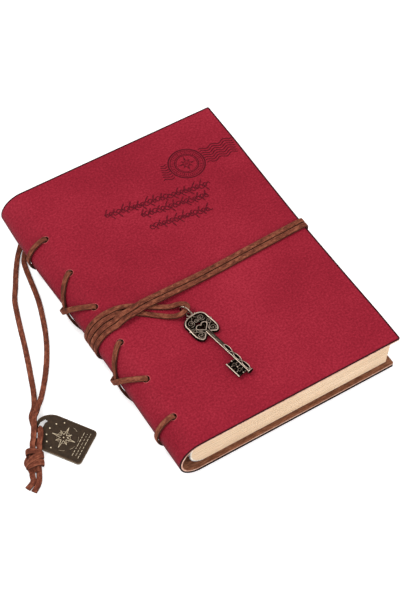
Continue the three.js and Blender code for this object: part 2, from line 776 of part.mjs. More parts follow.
// A point in the tag's own directions: along its axis from the crown, and across to its left.
function nearTag(along, across, z) {
  return new THREE.Vector3(
    tagCrownPlace.x + tagAxis.x * along - tagAxis.y * across,
    tagCrownPlace.y + tagAxis.y * along + tagAxis.x * across,
    z);
}

// Tag cord: two strands from the last back hole, along the surface, through the tag's slot.

const groundLift = 0.02;
const groundZ = cordThickness / 2 + groundLift;
const exitHeading = new THREE.Vector2(-0.65, -0.76).normalize();
const exitLength = 7.5;

function nearExit(along, across) {
  return at(
    holeFromSpine - 0.2 + exitHeading.x * along + exitHeading.y * across,
    tagHoleY - 0.4 + exitHeading.y * along - exitHeading.x * across,
    groundZ);
}

strands.forEach((strand, i) => {
  const across = (0.5 - i) * strandPitch;
  addPart(`tag_exit_${strand}`, flatCord([nearExit(0, across), nearExit(exitLength, across)], 2), 'cord');
});

const knotPlace = at(-57.3, -47.4, 0);
const knotHeading = new THREE.Vector2(-0.42, -0.91).normalize();
const knotLong = 14;
const knotWide = 10.4;
const knotTall = 7.2;
const knotEnd = knotLong / 2;
const knotSeat = 0.2;
const overTagZ = 2 * cordThickness + tagThickness + 2 * seatGap - cordThickness / 2 + 0.25;

// Where the four cord ends enter the knot: side along it, place across it and height.
const knotEntries = {
  hitch: { side: -1, across: 2.8, z: overTagZ - 0.2 },
  cordB: { side: -1, across: -0.6, z: overTagZ - 0.4 },
  tailA: { side: 1, across: -1.9, z: groundZ + 0.8 },
  tailB: { side: 1, across: 1.6, z: groundZ + 0.8 },
};

function nearKnot(along, across, z) {
  return new THREE.Vector3(
    knotPlace.x + knotHeading.x * along - knotHeading.y * across,
    knotPlace.y + knotHeading.y * along + knotHeading.x * across,
    z);
}

function knotEntry(name) {
  const { side, across, z } = knotEntries[name];
  return nearKnot(side * (knotEnd + knotSeat), across, z);
}

const tagCordA = [
  nearExit(exitLength + seatGap, strandPitch / 2),
  nearExit(exitLength + 4, strandPitch / 2),
  at(-2.0, 74.4, groundZ),
  at(-5.4, 69.6, groundZ),
  at(-9.8, 62.6, groundZ),
  at(-14.0, 55.2, groundZ),
  at(-18.4, 47.6, groundZ),
  at(-23.6, 32.6, groundZ),
  at(-28.6, 16.5, groundZ),
  at(-33.6, 2.0, groundZ),
  at(-38.2, -10.4, groundZ),
  at(-41.8, -17.4, groundZ),
  nearTag(-4.4, 5.4, groundZ),
  nearTag(-2.7, 2.9, groundZ),
];

const crossZ = groundZ + cordThickness + seatGap;
const tagCordB = [
  nearExit(exitLength + seatGap, -strandPitch / 2),
  nearExit(exitLength + 4, -strandPitch / 2),
  at(0.9, 72.4, groundZ),
  at(-1.7, 68.2, groundZ),
  at(-3.4, 62.0, groundZ),
  at(-4.9, 54.0, groundZ),
  at(-7.4, 41.4, groundZ),
  at(-11.4, 28.6, groundZ),
  at(-16.2, 16.3, groundZ),
  at(-21.2, 6.6, groundZ),
  at(-26.6, -2.0, groundZ),
  at(-32.4, -10.0, groundZ + 0.17),
  at(-36.6, -15.2, groundZ + 0.7),
  at(-40.0, -18.8, crossZ + 0.2),
  at(-43.0, -22.2, crossZ + 0.9),
  nearTag(-1.9, 3.9, overTagZ - 0.2),
  nearTag(-0.2, 0.4, overTagZ),
  nearTag(1.5, -3.2, overTagZ),
  nearTag(3.4, -7.2, overTagZ),
  nearKnot(-knotEnd - 2.4, -0.6, overTagZ - 0.2),
  knotEntry('cordB'),
];

// The strands of the free cord are swept from an eight-sided flat section.
function freeCord(points, steps) {
  const w = cordWidth / 2;
  const h = cordThickness / 2;
  const c = cordChamfer;
  const section = new THREE.Shape([
    new THREE.Vector2(-h, -w + c), new THREE.Vector2(-h + c, -w), new THREE.Vector2(h - c, -w),
    new THREE.Vector2(h, -w + c), new THREE.Vector2(h, w - c), new THREE.Vector2(h - c, w),
    new THREE.Vector2(-h + c, w), new THREE.Vector2(-h, w - c),
  ]);
  const route = new THREE.CatmullRomCurve3(points, false, 'centripetal');
  return new THREE.ExtrudeGeometry(section, { steps, extrudePath: route, bevelEnabled: false });
}

addPart('tag_cord_a', freeCord(tagCordA, 30), 'cord');
addPart('tag_cord_b', freeCord(tagCordB, 44), 'cord');

// The first strand goes under the tag's bar, up through its slot and over its shoulder.
const hitch = [
  [nearTag(-2.5, 2.65, groundZ), 'up'],
  [nearTag(-1.1, 1.1, groundZ), 'up'],
  [nearTag(0.5, 0.1, groundZ), 'up'],
  [nearTag(1.7, -0.3, groundZ), 'up'],
  [nearTag(2.6, -0.5, groundZ + 0.45), 'lean'],
  [nearTag(2.95, -0.55, groundZ + 1.3), 'back'],
  [nearTag(3.05, -0.55, overTagZ - 1.2), 'back'],
  [nearTag(3.4, -0.7, overTagZ - 0.4), 'lean'],
  [nearTag(4.2, -1.3, overTagZ), 'up'],
  [nearTag(5.3, -3.2, overTagZ), 'up'],
  [nearTag(6.6, -6.1, overTagZ), 'up'],
  [nearKnot(-knotEnd - 2.4, 2.8, overTagZ - 0.1), 'up'],
  [knotEntry('hitch'), 'up'],
];
const hitchNormals = {
  up: new THREE.Vector3(0, 0, 1),
  lean: new THREE.Vector3(-tagAxis.x, -tagAxis.y, 1).normalize(),
  back: new THREE.Vector3(-tagAxis.x, -tagAxis.y, 0.1).normalize(),
};
addPart('tag_cord_hitch', sweepCord(hitch.map((h) => h[0]), hitch.map((h) => hitchNormals[h[1]])), 'cord');

// The knot that gathers both strands, and the two cut ends below it.
function knotBody() {
  const core = new THREE.SphereGeometry(0.5, 12, 8);
  core.scale(knotLong * 0.92, knotWide * 0.86, knotTall * 0.9);
  const turns = [];
  for (const [shift, lean, size] of [[-2.6, 0.5, 0.86], [0.6, -0.45, 0.98], [3.2, 0.4, 0.8]]) {
    const turn = new THREE.TorusGeometry(0.5, 0.16, 6, 14);
    turn.rotateY(Math.PI / 2);
    turn.scale(knotLong * 0.55, knotWide * 0.8 * size, knotTall * 0.78 * size);
    turn.rotateZ(lean);
    turn.translate(shift, 0, 0);
    turns.push(turn);
  }
  const stubs = Object.values(knotEntries).map(({ side, across, z }) => {
    const stub = new THREE.BoxGeometry(knotEnd / 2, cordWidth, cordThickness);
    stub.translate(side * knotEnd * 0.75, across, z - knotTall / 2);
    return stub;
  });
  const rough = join([core, ...turns, ...stubs]);
  const below = new THREE.BoxGeometry(2 * knotLong, 2 * knotWide, knotTall);
  below.translate(0, 0, -knotTall);
  return toGeometry(rough.subtract(toSolid(below)));
}

const knot = addPart('tag_knot', knotBody(), 'cord');
knot.position.set(knotPlace.x, knotPlace.y, knotTall / 2);
knot.rotation.z = Math.atan2(knotHeading.y, knotHeading.x);

const tailA = [
  knotEntry('tailA'),
  at(-63.0, -55.9, groundZ + 0.4),
  at(-67.6, -58.3, groundZ + 0.1),
];
const tailB = [
  knotEntry('tailB'),
  at(-61.0, -58.6, groundZ + 0.4),
  at(-64.6, -62.2, groundZ + 0.1),
];
addPart('tag_tail_a', freeCord(tailA, 4), 'cord');
addPart('tag_tail_b', freeCord(tailB, 4), 'cord');

export default diary;
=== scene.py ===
"""Looks of the laced leather diary: leather, suede cord, paper, clear jacket and antiqued bronze.

Lengths in the constants are in millimetres and are turned into metres by MM.
"""

import random
from math import acos, asin, atan2, copysign, cos, exp, hypot, pi, radians, sin, sqrt

import bmesh
import bpy
from mathutils import Matrix, Vector, noise
from mathutils.geometry import tessellate_polygon


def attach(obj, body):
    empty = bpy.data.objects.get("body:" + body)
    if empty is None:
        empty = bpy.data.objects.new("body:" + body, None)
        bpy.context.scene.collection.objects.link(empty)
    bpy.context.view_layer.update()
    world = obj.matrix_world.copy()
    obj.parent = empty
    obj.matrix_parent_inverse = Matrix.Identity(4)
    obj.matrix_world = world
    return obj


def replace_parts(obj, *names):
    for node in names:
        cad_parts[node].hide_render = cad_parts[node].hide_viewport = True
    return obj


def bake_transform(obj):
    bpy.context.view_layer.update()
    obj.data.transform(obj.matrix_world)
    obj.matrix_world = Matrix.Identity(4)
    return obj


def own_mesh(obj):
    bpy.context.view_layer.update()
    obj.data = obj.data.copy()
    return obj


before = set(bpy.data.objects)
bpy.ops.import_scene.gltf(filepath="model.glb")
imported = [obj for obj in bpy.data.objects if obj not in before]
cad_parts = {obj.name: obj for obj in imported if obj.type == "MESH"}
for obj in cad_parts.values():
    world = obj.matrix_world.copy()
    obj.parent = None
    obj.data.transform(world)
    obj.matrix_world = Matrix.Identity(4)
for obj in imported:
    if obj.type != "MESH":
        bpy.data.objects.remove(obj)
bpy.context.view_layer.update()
MM = 0.001

# Covers
SPINE_X = -65.15
FORE_X = 66.85
SPINE_DEPTH = 12.0
FLAT_X = SPINE_X + SPINE_DEPTH
HALF_HEIGHT = 93.6
BACK_FORE_X = FORE_X - 1.5
CORNER_RADIUS = 1.0
EDGE_SPREAD = 1.1
WAIST_Y = -4.0
WAIST_REACH = 70.0
SPINE_BULGE = 2.0
SPINE_BULGE_Y = 62.0
SPINE_BULGE_SPREAD = 44.0
SKIN = 0.8
LINING = 0.8
BACK_Z = 1.6
FRONT_Z = 25.3
MID_Z = (BACK_Z + FRONT_Z) / 2
HALF_RISE = (FRONT_Z - BACK_Z) / 2

# Cords
CORD_W = 3.0
CORD_T = 1.4
CLEAR = 0.2
SEAT = 0.3
PITCH = CORD_W + 0.3
OUTER_PROUD = CLEAR + CORD_T / 2
LACE_LIFT = 0.12
LACE_MARGIN = 0.2
CROSS_FLAT = 0.42
CROSS_FADE = 0.5
CROSS_LIFT = CORD_T + SEAT - LACE_LIFT
INNER_PROUD = -(SKIN + LINING + 2 * SEAT + CORD_T / 2)
THROUGH_PROUD = -(SKIN + LINING)

# Lacing holes
FIRST_HOLE_Y = 58.4
HOLE_PITCH = 26.22
HOLE_YS = [FIRST_HOLE_Y - i * HOLE_PITCH for i in range(6)]
HOLE_FROM_SPINE = 8.85
HOLE_RADIUS = 2.1
DRILL_DEPTH = 6.0
RIM_WIDE = 0.17
RIM_TALL = 0.13
HOLE_BEND = 1.2
TAG_HOLE_Y = FIRST_HOLE_Y + HOLE_PITCH
TAG_HOLE_RADIUS = 2.7
HOLE_TURN = asin((SPINE_DEPTH - HOLE_FROM_SPINE) / SPINE_DEPTH)
BACK_HOLE_TURN = pi - HOLE_TURN
WRAP_START_TURN = 2.35
WRAP_START_Y = -9.8
STOPPER_YS = (WRAP_START_Y - PITCH + 1.5, WRAP_START_Y + PITCH - 1.5)
WRAP_HOLE_RADIUS = 3.6

# Text block
BLOCK_BOTTOM_Z = 4.2
BLOCK_TOP_Z = 22.7
BLOCK_RISE = (BLOCK_TOP_Z - BLOCK_BOTTOM_Z) / 2
BLOCK_SPINE_X = SPINE_X + 7.7
BLOCK_DEPTH = 8.8
BLOCK_FLAT_X = BLOCK_SPINE_X + BLOCK_DEPTH
BLOCK_FORE_X = BACK_FORE_X - 3.0
BLOCK_HALF = 91.2
JACKET_HALF = 91.0
JACKET_GAP = 0.15
JACKET_THICK = 0.25
JACKET_FORE_X = BLOCK_FORE_X + 0.6
LEAF_REACH = 1.4
LEAF_SLANT = 0.8


def at(from_spine, y, z):
    return Vector((SPINE_X + from_spine, y, z))


def spine_normal(turn):
    return Vector((-sin(turn) / SPINE_DEPTH, 0, cos(turn) / HALF_RISE)).normalized()


def spine_point(turn, y, proud):
    """A place on the spine's curve, which bulges a little towards its head."""
    bulge = SPINE_BULGE * exp(-((y - SPINE_BULGE_Y) / SPINE_BULGE_SPREAD) ** 2)
    base = Vector((FLAT_X - (SPINE_DEPTH + bulge) * sin(turn), y, MID_Z + HALF_RISE * cos(turn)))
    return base + spine_normal(turn) * proud


def turn_at(x, z):
    return atan2((FLAT_X - x) / SPINE_DEPTH, (z - MID_Z) / HALF_RISE)


def bend_back(obj):
    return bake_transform(obj)


def bend_front(obj):
    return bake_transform(obj)


def flatten(obj, body):
    """A cord between the leaves and the lining rides on the body, with a mesh of its own."""
    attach(obj, body)
    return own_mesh(obj)


def ride_block(obj, side):
    """Leaves and their jacket ride on the block of their side, each with a mesh of its own."""
    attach(obj, f"{side}_block")
    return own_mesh(obj)


# Materials

def feed(nt, n, inputs):
    """Each input of node n gets a socket's link or a plain value."""
    for key, value in inputs.items():
        if isinstance(value, bpy.types.NodeSocket):
            nt.links.new(value, n.inputs[key])
        else:
            n.inputs[key].default_value = value


def node(nt, kind, inputs, **props):
    n = nt.nodes.new(kind)
    for key, value in props.items():
        setattr(n, key, value)
    feed(nt, n, inputs)
    return n


def new_material(name):
    mat = bpy.data.materials.new(name)
    mat.use_nodes = True
    nt = mat.node_tree
    nt.nodes.clear()
    bsdf = nt.nodes.new("ShaderNodeBsdfPrincipled")
    node(nt, "ShaderNodeOutputMaterial", {"Surface": bsdf.outputs[0]})
    return mat, nt, bsdf


def srgb(r, g, b):
    def line(c):
        c /= 255
        return c / 12.92 if c <= 0.04045 else ((c + 0.055) / 1.055) ** 2.4
    return (line(r), line(g), line(b), 1.0)


def ramp(nt, factor, stops):
    n = node(nt, "ShaderNodeValToRGB", {0: factor})
    elements = n.color_ramp.elements
    while len(elements) < len(stops):
        elements.new(0.5)
    for element, (place, color) in zip(elements, stops):
        element.position = place
        element.color = srgb(*color)
    return n.outputs[0]


def place_of(nt, kind):
    return nt.nodes.new("ShaderNodeTexCoord").outputs[kind]


def marked(nt, name):
    return node(nt, "ShaderNodeAttribute", {}, attribute_name=name).outputs["Fac"]


def noise_of(nt, where, scale, detail=4, rough=0.55, stretch=None):
    if stretch:
        where = node(nt, "ShaderNodeMapping", {"Vector": where, "Scale": stretch}).outputs[0]
    inputs = {"Vector": where, "Scale": scale, "Detail": detail, "Roughness": rough}
    return node(nt, "ShaderNodeTexNoise", inputs).outputs[0]


def bumps(nt, *layers):
    """Layers of height, strength and distance, each on the one before."""
    normal = {}
    for height, strength, distance in layers:
        inputs = {"Height": height, "Strength": strength, "Distance": distance, **normal}
        normal = {"Normal": node(nt, "ShaderNodeBump", inputs).outputs[0]}
    return normal["Normal"]


def math_node(nt, operation, a, b):
    return node(nt, "ShaderNodeMath", {0: a, 1: b}, operation=operation).outputs[0]


def scaled(nt, a, factor, plus):
    return math_node(nt, "ADD", math_node(nt, "MULTIPLY", a, factor), plus)


def mixed(nt, a, b, share):
    return scaled(nt, a, share, math_node(nt, "MULTIPLY", b, 1 - share))


def mix_colors(nt, share, a, b):
    return node(nt, "ShaderNodeMix", {0: share, 6: a, 7: b}, data_type="RGBA").outputs[2]


def leather(name, dark, mid, light, burnt_and_shade, roughness):
    """Smooth dyed leather with a fine grain, darkened by the edge marks: burnishing at the edge, and
    painted shade along the head, the fore-edge and the spine.
    """
    mat, nt, bsdf = new_material(name)
    uv = place_of(nt, "UV")
    blotch = noise_of(nt, uv, 16, 5, 0.6)
    speck = noise_of(nt, uv, 900, 3, 0.7)
    color = ramp(nt, mixed(nt, blotch, speck, 0.35), [(0.36, dark), (0.5, mid), (0.64, light)])
    # The edge marks mix in the dark colour: burnishing, and painted shade on the spine and along the head
    # and the fore-edge.
    share = math_node(nt, "MULTIPLY", math_node(nt, "POWER", marked(nt, "edge"), 0.9), 0.9)
    cells = node(nt, "ShaderNodeTexVoronoi", {"Vector": uv, "Scale": 1300.0}).outputs[0]
    grain = noise_of(nt, uv, 2200, 2, 0.6)
    feed(nt, bsdf, {
        "Base Color": mix_colors(nt, share, color, srgb(*burnt_and_shade)),
        "Roughness": scaled(nt, speck, 0.2, roughness - 0.1),
        "Specular IOR Level": 0.07,
        "Normal": bumps(nt, (blotch, 0.1, 0.0005), (cells, 0.3, 0.00012), (grain, 0.3, 0.0001))})
    return mat


def suede(name, dark, mid, light, nap, sheen=0.25):
    mat, nt, bsdf = new_material(name)
    uv = place_of(nt, "UV")
    fibre = noise_of(nt, uv, 560, 5, 0.72, stretch=(0.45, 1.7, 1.0))
    patch = noise_of(nt, uv, 90, 3, 0.5)
    fine = noise_of(nt, uv, 1700, 2, 0.6)
    color = ramp(nt, mixed(nt, fibre, patch, 0.75), [(0.36, dark), (0.5, mid), (0.64, light)])
    shade = [c * 0.35 for c in srgb(*dark)[:3]] + [1.0]
    feed(nt, bsdf, {
        "Base Color": mix_colors(nt, marked(nt, "edge"), color, shade),
        "Roughness": 0.92,
        "Specular IOR Level": 0.18,
        "Sheen Weight": sheen,
        "Sheen Roughness": 0.45,
        "Sheen Tint": srgb(*light),
        "Normal": bumps(nt, (fibre, 0.5 * nap, 0.0003), (fine, 0.6 * nap, 0.00015))})
    return mat


def bronze(name, dark, middle, bright, metallic, rough_high):
    """Antiqued metal: the attribute named relief tells the rubbed high places from the dark hollows."""
    mat, nt, bsdf = new_material(name)
    where = place_of(nt, "Object")
    mottle = noise_of(nt, where, 520, 5, 0.7)
    scratch = noise_of(nt, where, 2200, 3, 0.6)
    spread = math_node(nt, "MULTIPLY", math_node(nt, "SUBTRACT", mottle, 0.5), 0.5)
    worn = math_node(nt, "ADD", marked(nt, "relief"), spread)
    feed(nt, bsdf, {
        "Base Color": ramp(nt, worn, [(0.12, dark), (0.66, middle), (1.0, bright)]),
        "Metallic": metallic,
        "Roughness": math_node(nt, "SUBTRACT", rough_high, math_node(nt, "MULTIPLY", worn, 0.36)),
        "Normal": bumps(nt, (mottle, 0.35, 0.0002), (scratch, 0.2, 0.0001))})
    return mat


def page_edges(name, dark, mid, light):
    """Stacked leaves seen from the side: thin layers and a soft mottle."""
    mat, nt, bsdf = new_material(name)
    where = place_of(nt, "Object")
    layers = noise_of(nt, where, 40, 4, 0.7, stretch=(0.35, 0.35, 70.0))
    tone = noise_of(nt, where, 30, 3, 0.5)
    feed(nt, bsdf, {
        "Base Color": ramp(nt, mixed(nt, layers, tone, 0.7), [(0.32, dark), (0.5, mid), (0.68, light)]),
        "Roughness": 0.9,
        "Normal": bumps(nt, (layers, 0.35, 0.0003))})
    return mat


def mottled(name, scale, detail, rough, stops, roughness, strength, distance, alpha=1.0):
    """One soft mottle in both the colour and the relief."""
    mat, nt, bsdf = new_material(name)
    tone = noise_of(nt, place_of(nt, "Object"), scale, detail, rough)
    feed(nt, bsdf, {
        "Base Color": ramp(nt, tone, stops),
        "Roughness": roughness,
        "Alpha": alpha,
        "Normal": bumps(nt, (tone, strength, distance))})
    return mat


def clear_sheet(name, alpha):
    haze = [(0.3, (196, 200, 204)), (0.7, (232, 234, 236))]
    return mottled(name, 120, 3, 0.5, haze, 0.22, 0.3, 0.0006, alpha)


crimson = leather("crimson_leather", (122, 20, 36), (144, 29, 46), (166, 43, 60), (23, 4, 8), 0.66)
emboss_red = leather("pressed_leather", (68, 10, 21), (80, 13, 25), (94, 17, 30), (50, 7, 15), 0.6)
burnt_edge = suede("burnished_edge", (32, 9, 10), (46, 14, 15), (65, 23, 21), 0.6, 0.0)
cut_edge = suede("cut_lining_edge", (168, 120, 100), (202, 158, 138), (228, 194, 176), 0.8)
hole_edge = suede("hole_edge", (154, 50, 57), (188, 80, 83), (217, 126, 121), 0.8)
lining_brown = suede("lining_suede", (91, 54, 37), (128, 80, 57), (163, 109, 80), 0.8)
cord_suede = suede("cord_suede", (60, 28, 19), (110, 56, 39), (160, 95, 70), 1.3)
key_bronze = bronze("key_bronze", (11, 8, 6), (50, 38, 29), (190, 170, 154), 1.0, 0.72)
tag_bronze = bronze("tag_bronze", (30, 22, 14), (82, 61, 40), (236, 218, 186), 0.6, 0.8)
paper = page_edges("paper_leaves", (196, 162, 132), (222, 192, 162), (240, 216, 192))
leaf_stops = [(0.3, (226, 204, 172)), (0.7, (236, 216, 186))]
leaf_face = mottled("leaf_face", 420, 4, 0.6, leaf_stops, 0.92, 0.12, 0.0001)
glue_stops = [(0.35, (214, 208, 196)), (0.65, (246, 243, 236))]
glue = mottled("spine_glue", 200, 4, 0.6, glue_stops, 0.6, 0.4, 0.0004)
clear = clear_sheet("clear_jacket", 0.18)
# The bent sheet round the spine is the same clear sheet drawn denser: a painted highlight on the bend.
clear_spine_painted_highlight = clear_sheet("clear_jacket_spine_painted_highlight", 0.6)


# Mesh helpers

def add_object(name, data):
    obj = bpy.data.objects.new(name, data)
    bpy.context.scene.collection.objects.link(obj)
    return obj


def make_object(name, verts, faces, materials, slots=None, uvs=None, smooth=True):
    mesh = bpy.data.meshes.new(name)
    mesh.from_pydata([Vector(v) * MM for v in verts], [], faces)
    for material in materials:
        mesh.materials.append(material)
    if slots:
        mesh.polygons.foreach_set("material_index", slots)
    if uvs:
        layer = mesh.uv_layers.new(name="flat")
        for poly in mesh.polygons:
            for loop_index, vertex in zip(poly.loop_indices, poly.vertices):
                layer.data[loop_index].uv = Vector(uvs[vertex]) * MM
    mesh.polygons.foreach_set("use_smooth", [smooth] * len(mesh.polygons))
    mesh.update()
    return add_object(name, mesh)


def outward(obj, weld=0.0):
    """Faces turned outwards, after points nearer than weld are joined."""
    bm = bmesh.new()
    bm.from_mesh(obj.data)
    if weld:
        bmesh.ops.remove_doubles(bm, verts=bm.verts, dist=weld)
    bmesh.ops.recalc_face_normals(bm, faces=bm.faces)
    bm.to_mesh(obj.data)
    bm.free()
    return obj


def add_marks(obj, name, domain, values):
    obj.data.attributes.new(name, "FLOAT", domain).data.foreach_set("value", values)


def tube_faces(rings, sides, closed=False, base=0):
    """Faces between rings of as many points each, and a cap on both ends unless the tube is closed."""
    faces = []
    for i in range(rings if closed else rings - 1):
        for k in range(sides):
            a, b = base + i * sides, base + (i + 1) % rings * sides
            n = (k + 1) % sides
            faces.append((a + k, a + n, b + n, b + k))
    if not closed:
        last = base + (rings - 1) * sides
        faces += [tuple(range(base, base + sides)), tuple(range(last, last + sides))]
    return faces


def sheet_faces(rows, cols, slot):
    """Faces of a sheet with an outer and an inner layer of points.

    The material is slot(part, column), where part is 0 for outer, 1 for inner and 2 for edge.
    """
    layer = rows * cols
    faces, slots = [], []

    def add(part, row, col, shape):
        faces.append(tuple(row * cols + col + step for step in shape))
        slots.append(slot(part, col))

    for r in range(rows - 1):
        for c in range(cols - 1):
            add(0, r, c, (0, 1, 1 + cols, cols))
            add(1, r, c, (layer, layer + cols, layer + cols + 1, layer + 1))
        for c in (0, cols - 1):
            add(2, r, c, (0, cols, cols + layer, layer))
    for c in range(cols - 1):
        for r in (0, rows - 1):
            add(2, r, c, (0, 1, 1 + layer, layer))
    return faces, slots


def neighbours(points, i, closed=False):
    """The points before and after point i, which at the end of an open route are the end itself."""
    if closed:
        return points[i - 1], points[(i + 1) % len(points)]
    return points[max(i - 1, 0)], points[min(i + 1, len(points) - 1)]


def polar(x, y, radius, angle):
    return x + radius * cos(angle), y + radius * sin(angle)


def circle(x, y, radius, steps):
    return [polar(x, y, radius, 2 * pi * i / steps) for i in range(steps)]


def sharpen(obj, angle):
    obj.data.set_sharp_from_angle(angle=radians(angle))
    return obj


def smooth_route(points, per_span=8):
    """A centripetal Catmull-Rom curve through the points."""
    pts = [2 * points[0] - points[1]] + list(points) + [2 * points[-1] - points[-2]]
    route = []
    for i in range(1, len(pts) - 2):
        p0, p1, p2, p3 = pts[i - 1:i + 3]
        d0, d1, d2 = (max((b - a).length, 1e-6) ** 0.5 for a, b in ((p0, p1), (p1, p2), (p2, p3)))
        m1 = (p1 - p0) / d0 - (p2 - p0) / (d0 + d1) + (p2 - p1) / d1
        m2 = (p2 - p1) / d1 - (p3 - p1) / (d1 + d2) + (p3 - p2) / d2
        m1, m2 = m1 * d1, m2 * d1
        for k in range(per_span):
            t = k / per_span
            c2 = -3 * p1 + 3 * p2 - 2 * m1 - m2
            c3 = 2 * p1 - 2 * p2 + m1 + m2
            route.append(p1 + m1 * t + c2 * t * t + c3 * t ** 3)
    route.append(points[-1].copy())
    return route


def spaced(points, normals, step):
    """The route again, with points about step apart."""
    out_points, out_normals = [points[0].copy()], [normals[0].copy()]
    left = step
    for a, b, na, nb in zip(points, points[1:], normals, normals[1:]):
        length = (b - a).length
        while length > 0 and left <= length:
            share = left / length
            out_points.append(a.lerp(b, share))
            out_normals.append(na.lerp(nb, share).normalized())
            left += step
        left -= length
    if (out_points[-1] - points[-1]).length > 0.3 * step:
        out_points.append(points[-1].copy())
        out_normals.append(normals[-1].copy())
    else:
        out_points[-1], out_normals[-1] = points[-1].copy(), normals[-1].copy()
    return out_points, out_normals


SECTION = 16


def ribbon(name, route, seed, width=CORD_W, thickness=CORD_T, step=0.8, steady=False):
    """A flat suede strip along points and their normals, a little uneven, closed at both ends."""
    points, normals = spaced(*zip(*route), step)
    rng = random.Random(seed)
    phase = Vector((rng.uniform(0, 50), rng.uniform(0, 50), rng.uniform(0, 50)))
    verts, uvs, faces, marks, along = [], [], [], [], 0.0
    for i, point in enumerate(points):
        before, after = neighbours(points, i)
        tangent = (after - before).normalized()
        side = tangent.cross(normals[i]).normalized()
        up = side.cross(tangent).normalized()
        if i:
            along += (point - points[i - 1]).length
        uneven = noise.noise(phase + Vector((along * 0.13, 0, 0)))
        w = width / 2 * (1 + 0.05 * uneven * (not steady))
        h = thickness / 2
        for k in range(SECTION + 1):
            angle = 2 * pi * (k % SECTION) / SECTION
            ca, sa = cos(angle), sin(angle)
            a = copysign(abs(ca) ** 0.42, ca) * w
            b = copysign(abs(sa) ** 0.55, sa) * h
            rough = 1 + 0.05 * noise.noise(phase + Vector((along * 0.8, a, b)))
            verts.append(point + side * a * rough + up * b * rough)
            uvs.append((along + seed * 7.3, k / SECTION * 2 * (width + thickness)))
            marks.append(max(0.0, abs(ca) - 0.7) * 3)
    ring = SECTION + 1
    for i in range(len(points) - 1):
        for k in range(SECTION):
            a = i * ring + k
            faces.append((a, a + 1, a + 1 + ring, a + ring))
    for base in (0, (len(points) - 1) * ring):
        faces.append(tuple(base + k for k in range(SECTION)))
    obj = make_object(name, verts, faces, [cord_suede], uvs=uvs)
    add_marks(obj, "edge", "POINT", marks)
    return sharpen(outward(obj, weld=1e-6), 50)


UP = Vector((0, 0, 1))
DOWN = Vector((0, 0, -1))


def smooth_pairs(pairs, per_span):
    """A smooth route through points that each have their own normal."""
    points, normals = (smooth_route(part, per_span) for part in zip(*pairs))
    return [(point, normal.normalized()) for point, normal in zip(points, normals)]


def level(points, per_span=8):
    """A route that lies flat: every normal points up."""
    return [(point, UP.copy()) for point in smooth_route(points, per_span)]


# Covers: each side is one sheet from the middle of the spine round the fold to the fore-edge.

def corner_reach(y, fore_x):
    """Where the fore-edge lies at height y: drawn in by the cord, and rounded at its corners."""
    y = min(max(y, -HALF_HEIGHT), HALF_HEIGHT)
    fore_x += EDGE_SPREAD * min(abs(y - WAIST_Y) / WAIST_REACH, 1) ** 1.5
    over = abs(y) - (HALF_HEIGHT - CORNER_RADIUS)
    if over <= 0:
        return fore_x
    return fore_x - CORNER_RADIUS + sqrt(max(CORNER_RADIUS ** 2 - over ** 2, 0))


# The leather darkens from EDGE_BAND inside the edge to EDGE_DARK, over a smaller share of that at the tail:
# burnishing, with painted shade where the band is wider, along the head and the fore-edge.
EDGE_BAND = 1.15
EDGE_DARK = 0.75
TAIL_SHARE = 0.4

# The front's edge is rolled down a little, and the back's leather reaches a lip past its lining.
EDGE_DROP = 0.14
LIP = 0.55
SHEET_RIPPLE = 0.06
ROW_INSETS = (1.5, EDGE_BAND, EDGE_DARK, 0.3, 0.1, 0.0)
COLUMN_INSETS = (EDGE_BAND, EDGE_DARK, 0.3, 0.0)


def cover_rows():
    """Evenly spaced rows, and closer ones along the head and the tail."""
    flat = HALF_HEIGHT - 2.6
    rows = [flat * (i / 42 - 1) for i in range(85)]
    for inset in ROW_INSETS:
        y = HALF_HEIGHT - inset
        rows = [-y] + rows + [y]
    return rows


def cover_columns(sign, fore_x):
    """Turn along the spine, then share of the panel, from the middle of the spine outwards."""
    middle, end = pi / 2, (0.0 if sign > 0 else pi)
    columns = [("turn", middle + (end - middle) * i / 20) for i in range(21)]
    columns += [("panel", i / 56) for i in range(1, 56)]
    return columns + [("panel", 1 - inset / (fore_x - FLAT_X)) for inset in COLUMN_INSETS]


def cover_piece(name, sign, fore_x, outer, inner, materials, lip=0.0):
    """A curved sheet between two depths, with a material each for its outer face, inner face and edge."""
    rows, columns = cover_rows(), cover_columns(sign, fore_x)
    arc = HALF_RISE * pi / 2
    n_rows, n_cols = len(rows), len(columns)

    def place(column, y, depth):
        kind, value = column
        share = abs(value - pi / 2) / (pi / 2) if kind == "turn" else 1.0
        y *= 1 + lip * share / HALF_HEIGHT
        if kind == "turn":
            return spine_point(value, y, depth), share * arc
        x = FLAT_X + (corner_reach(y, fore_x) - FLAT_X) * value
        z = (FRONT_Z + depth) if sign > 0 else (BACK_Z - depth)
        return Vector((x, y, z)), arc + (x - FLAT_X)

    verts, uvs = [], []
    for depth in (outer, inner):
        for r, y in enumerate(rows):
            for c, column in enumerate(columns):
                at_edge = r in (0, n_rows - 1) or c == n_cols - 1
                if at_edge:
                    shift = -EDGE_DROP if depth == outer and sign > 0 else 0.0
                else:
                    ripple = noise.noise(Vector((c * 0.11, y * 0.035, 3.0 * sign)))
                    shift = SHEET_RIPPLE * ripple if column[0] == "panel" else 0.0
                point, along = place(column, y, depth + shift)
                verts.append(point)
                uvs.append((along * sign, y))
    faces, slots = sheet_faces(n_rows, n_cols, lambda part, col: part)
    return outward(make_object(name, verts, faces, materials, slots, uvs))


def drill(bm, turn, y, radius):
    place = Matrix.Translation(spine_point(turn, y, -SKIN) * MM)
    turned = spine_normal(turn).to_track_quat("Z", "Y").to_matrix().to_4x4()
    bmesh.ops.create_cone(bm, cap_ends=True, segments=28, radius1=radius * MM, radius2=radius * MM,
                          depth=DRILL_DEPTH * MM, matrix=place @ turned)


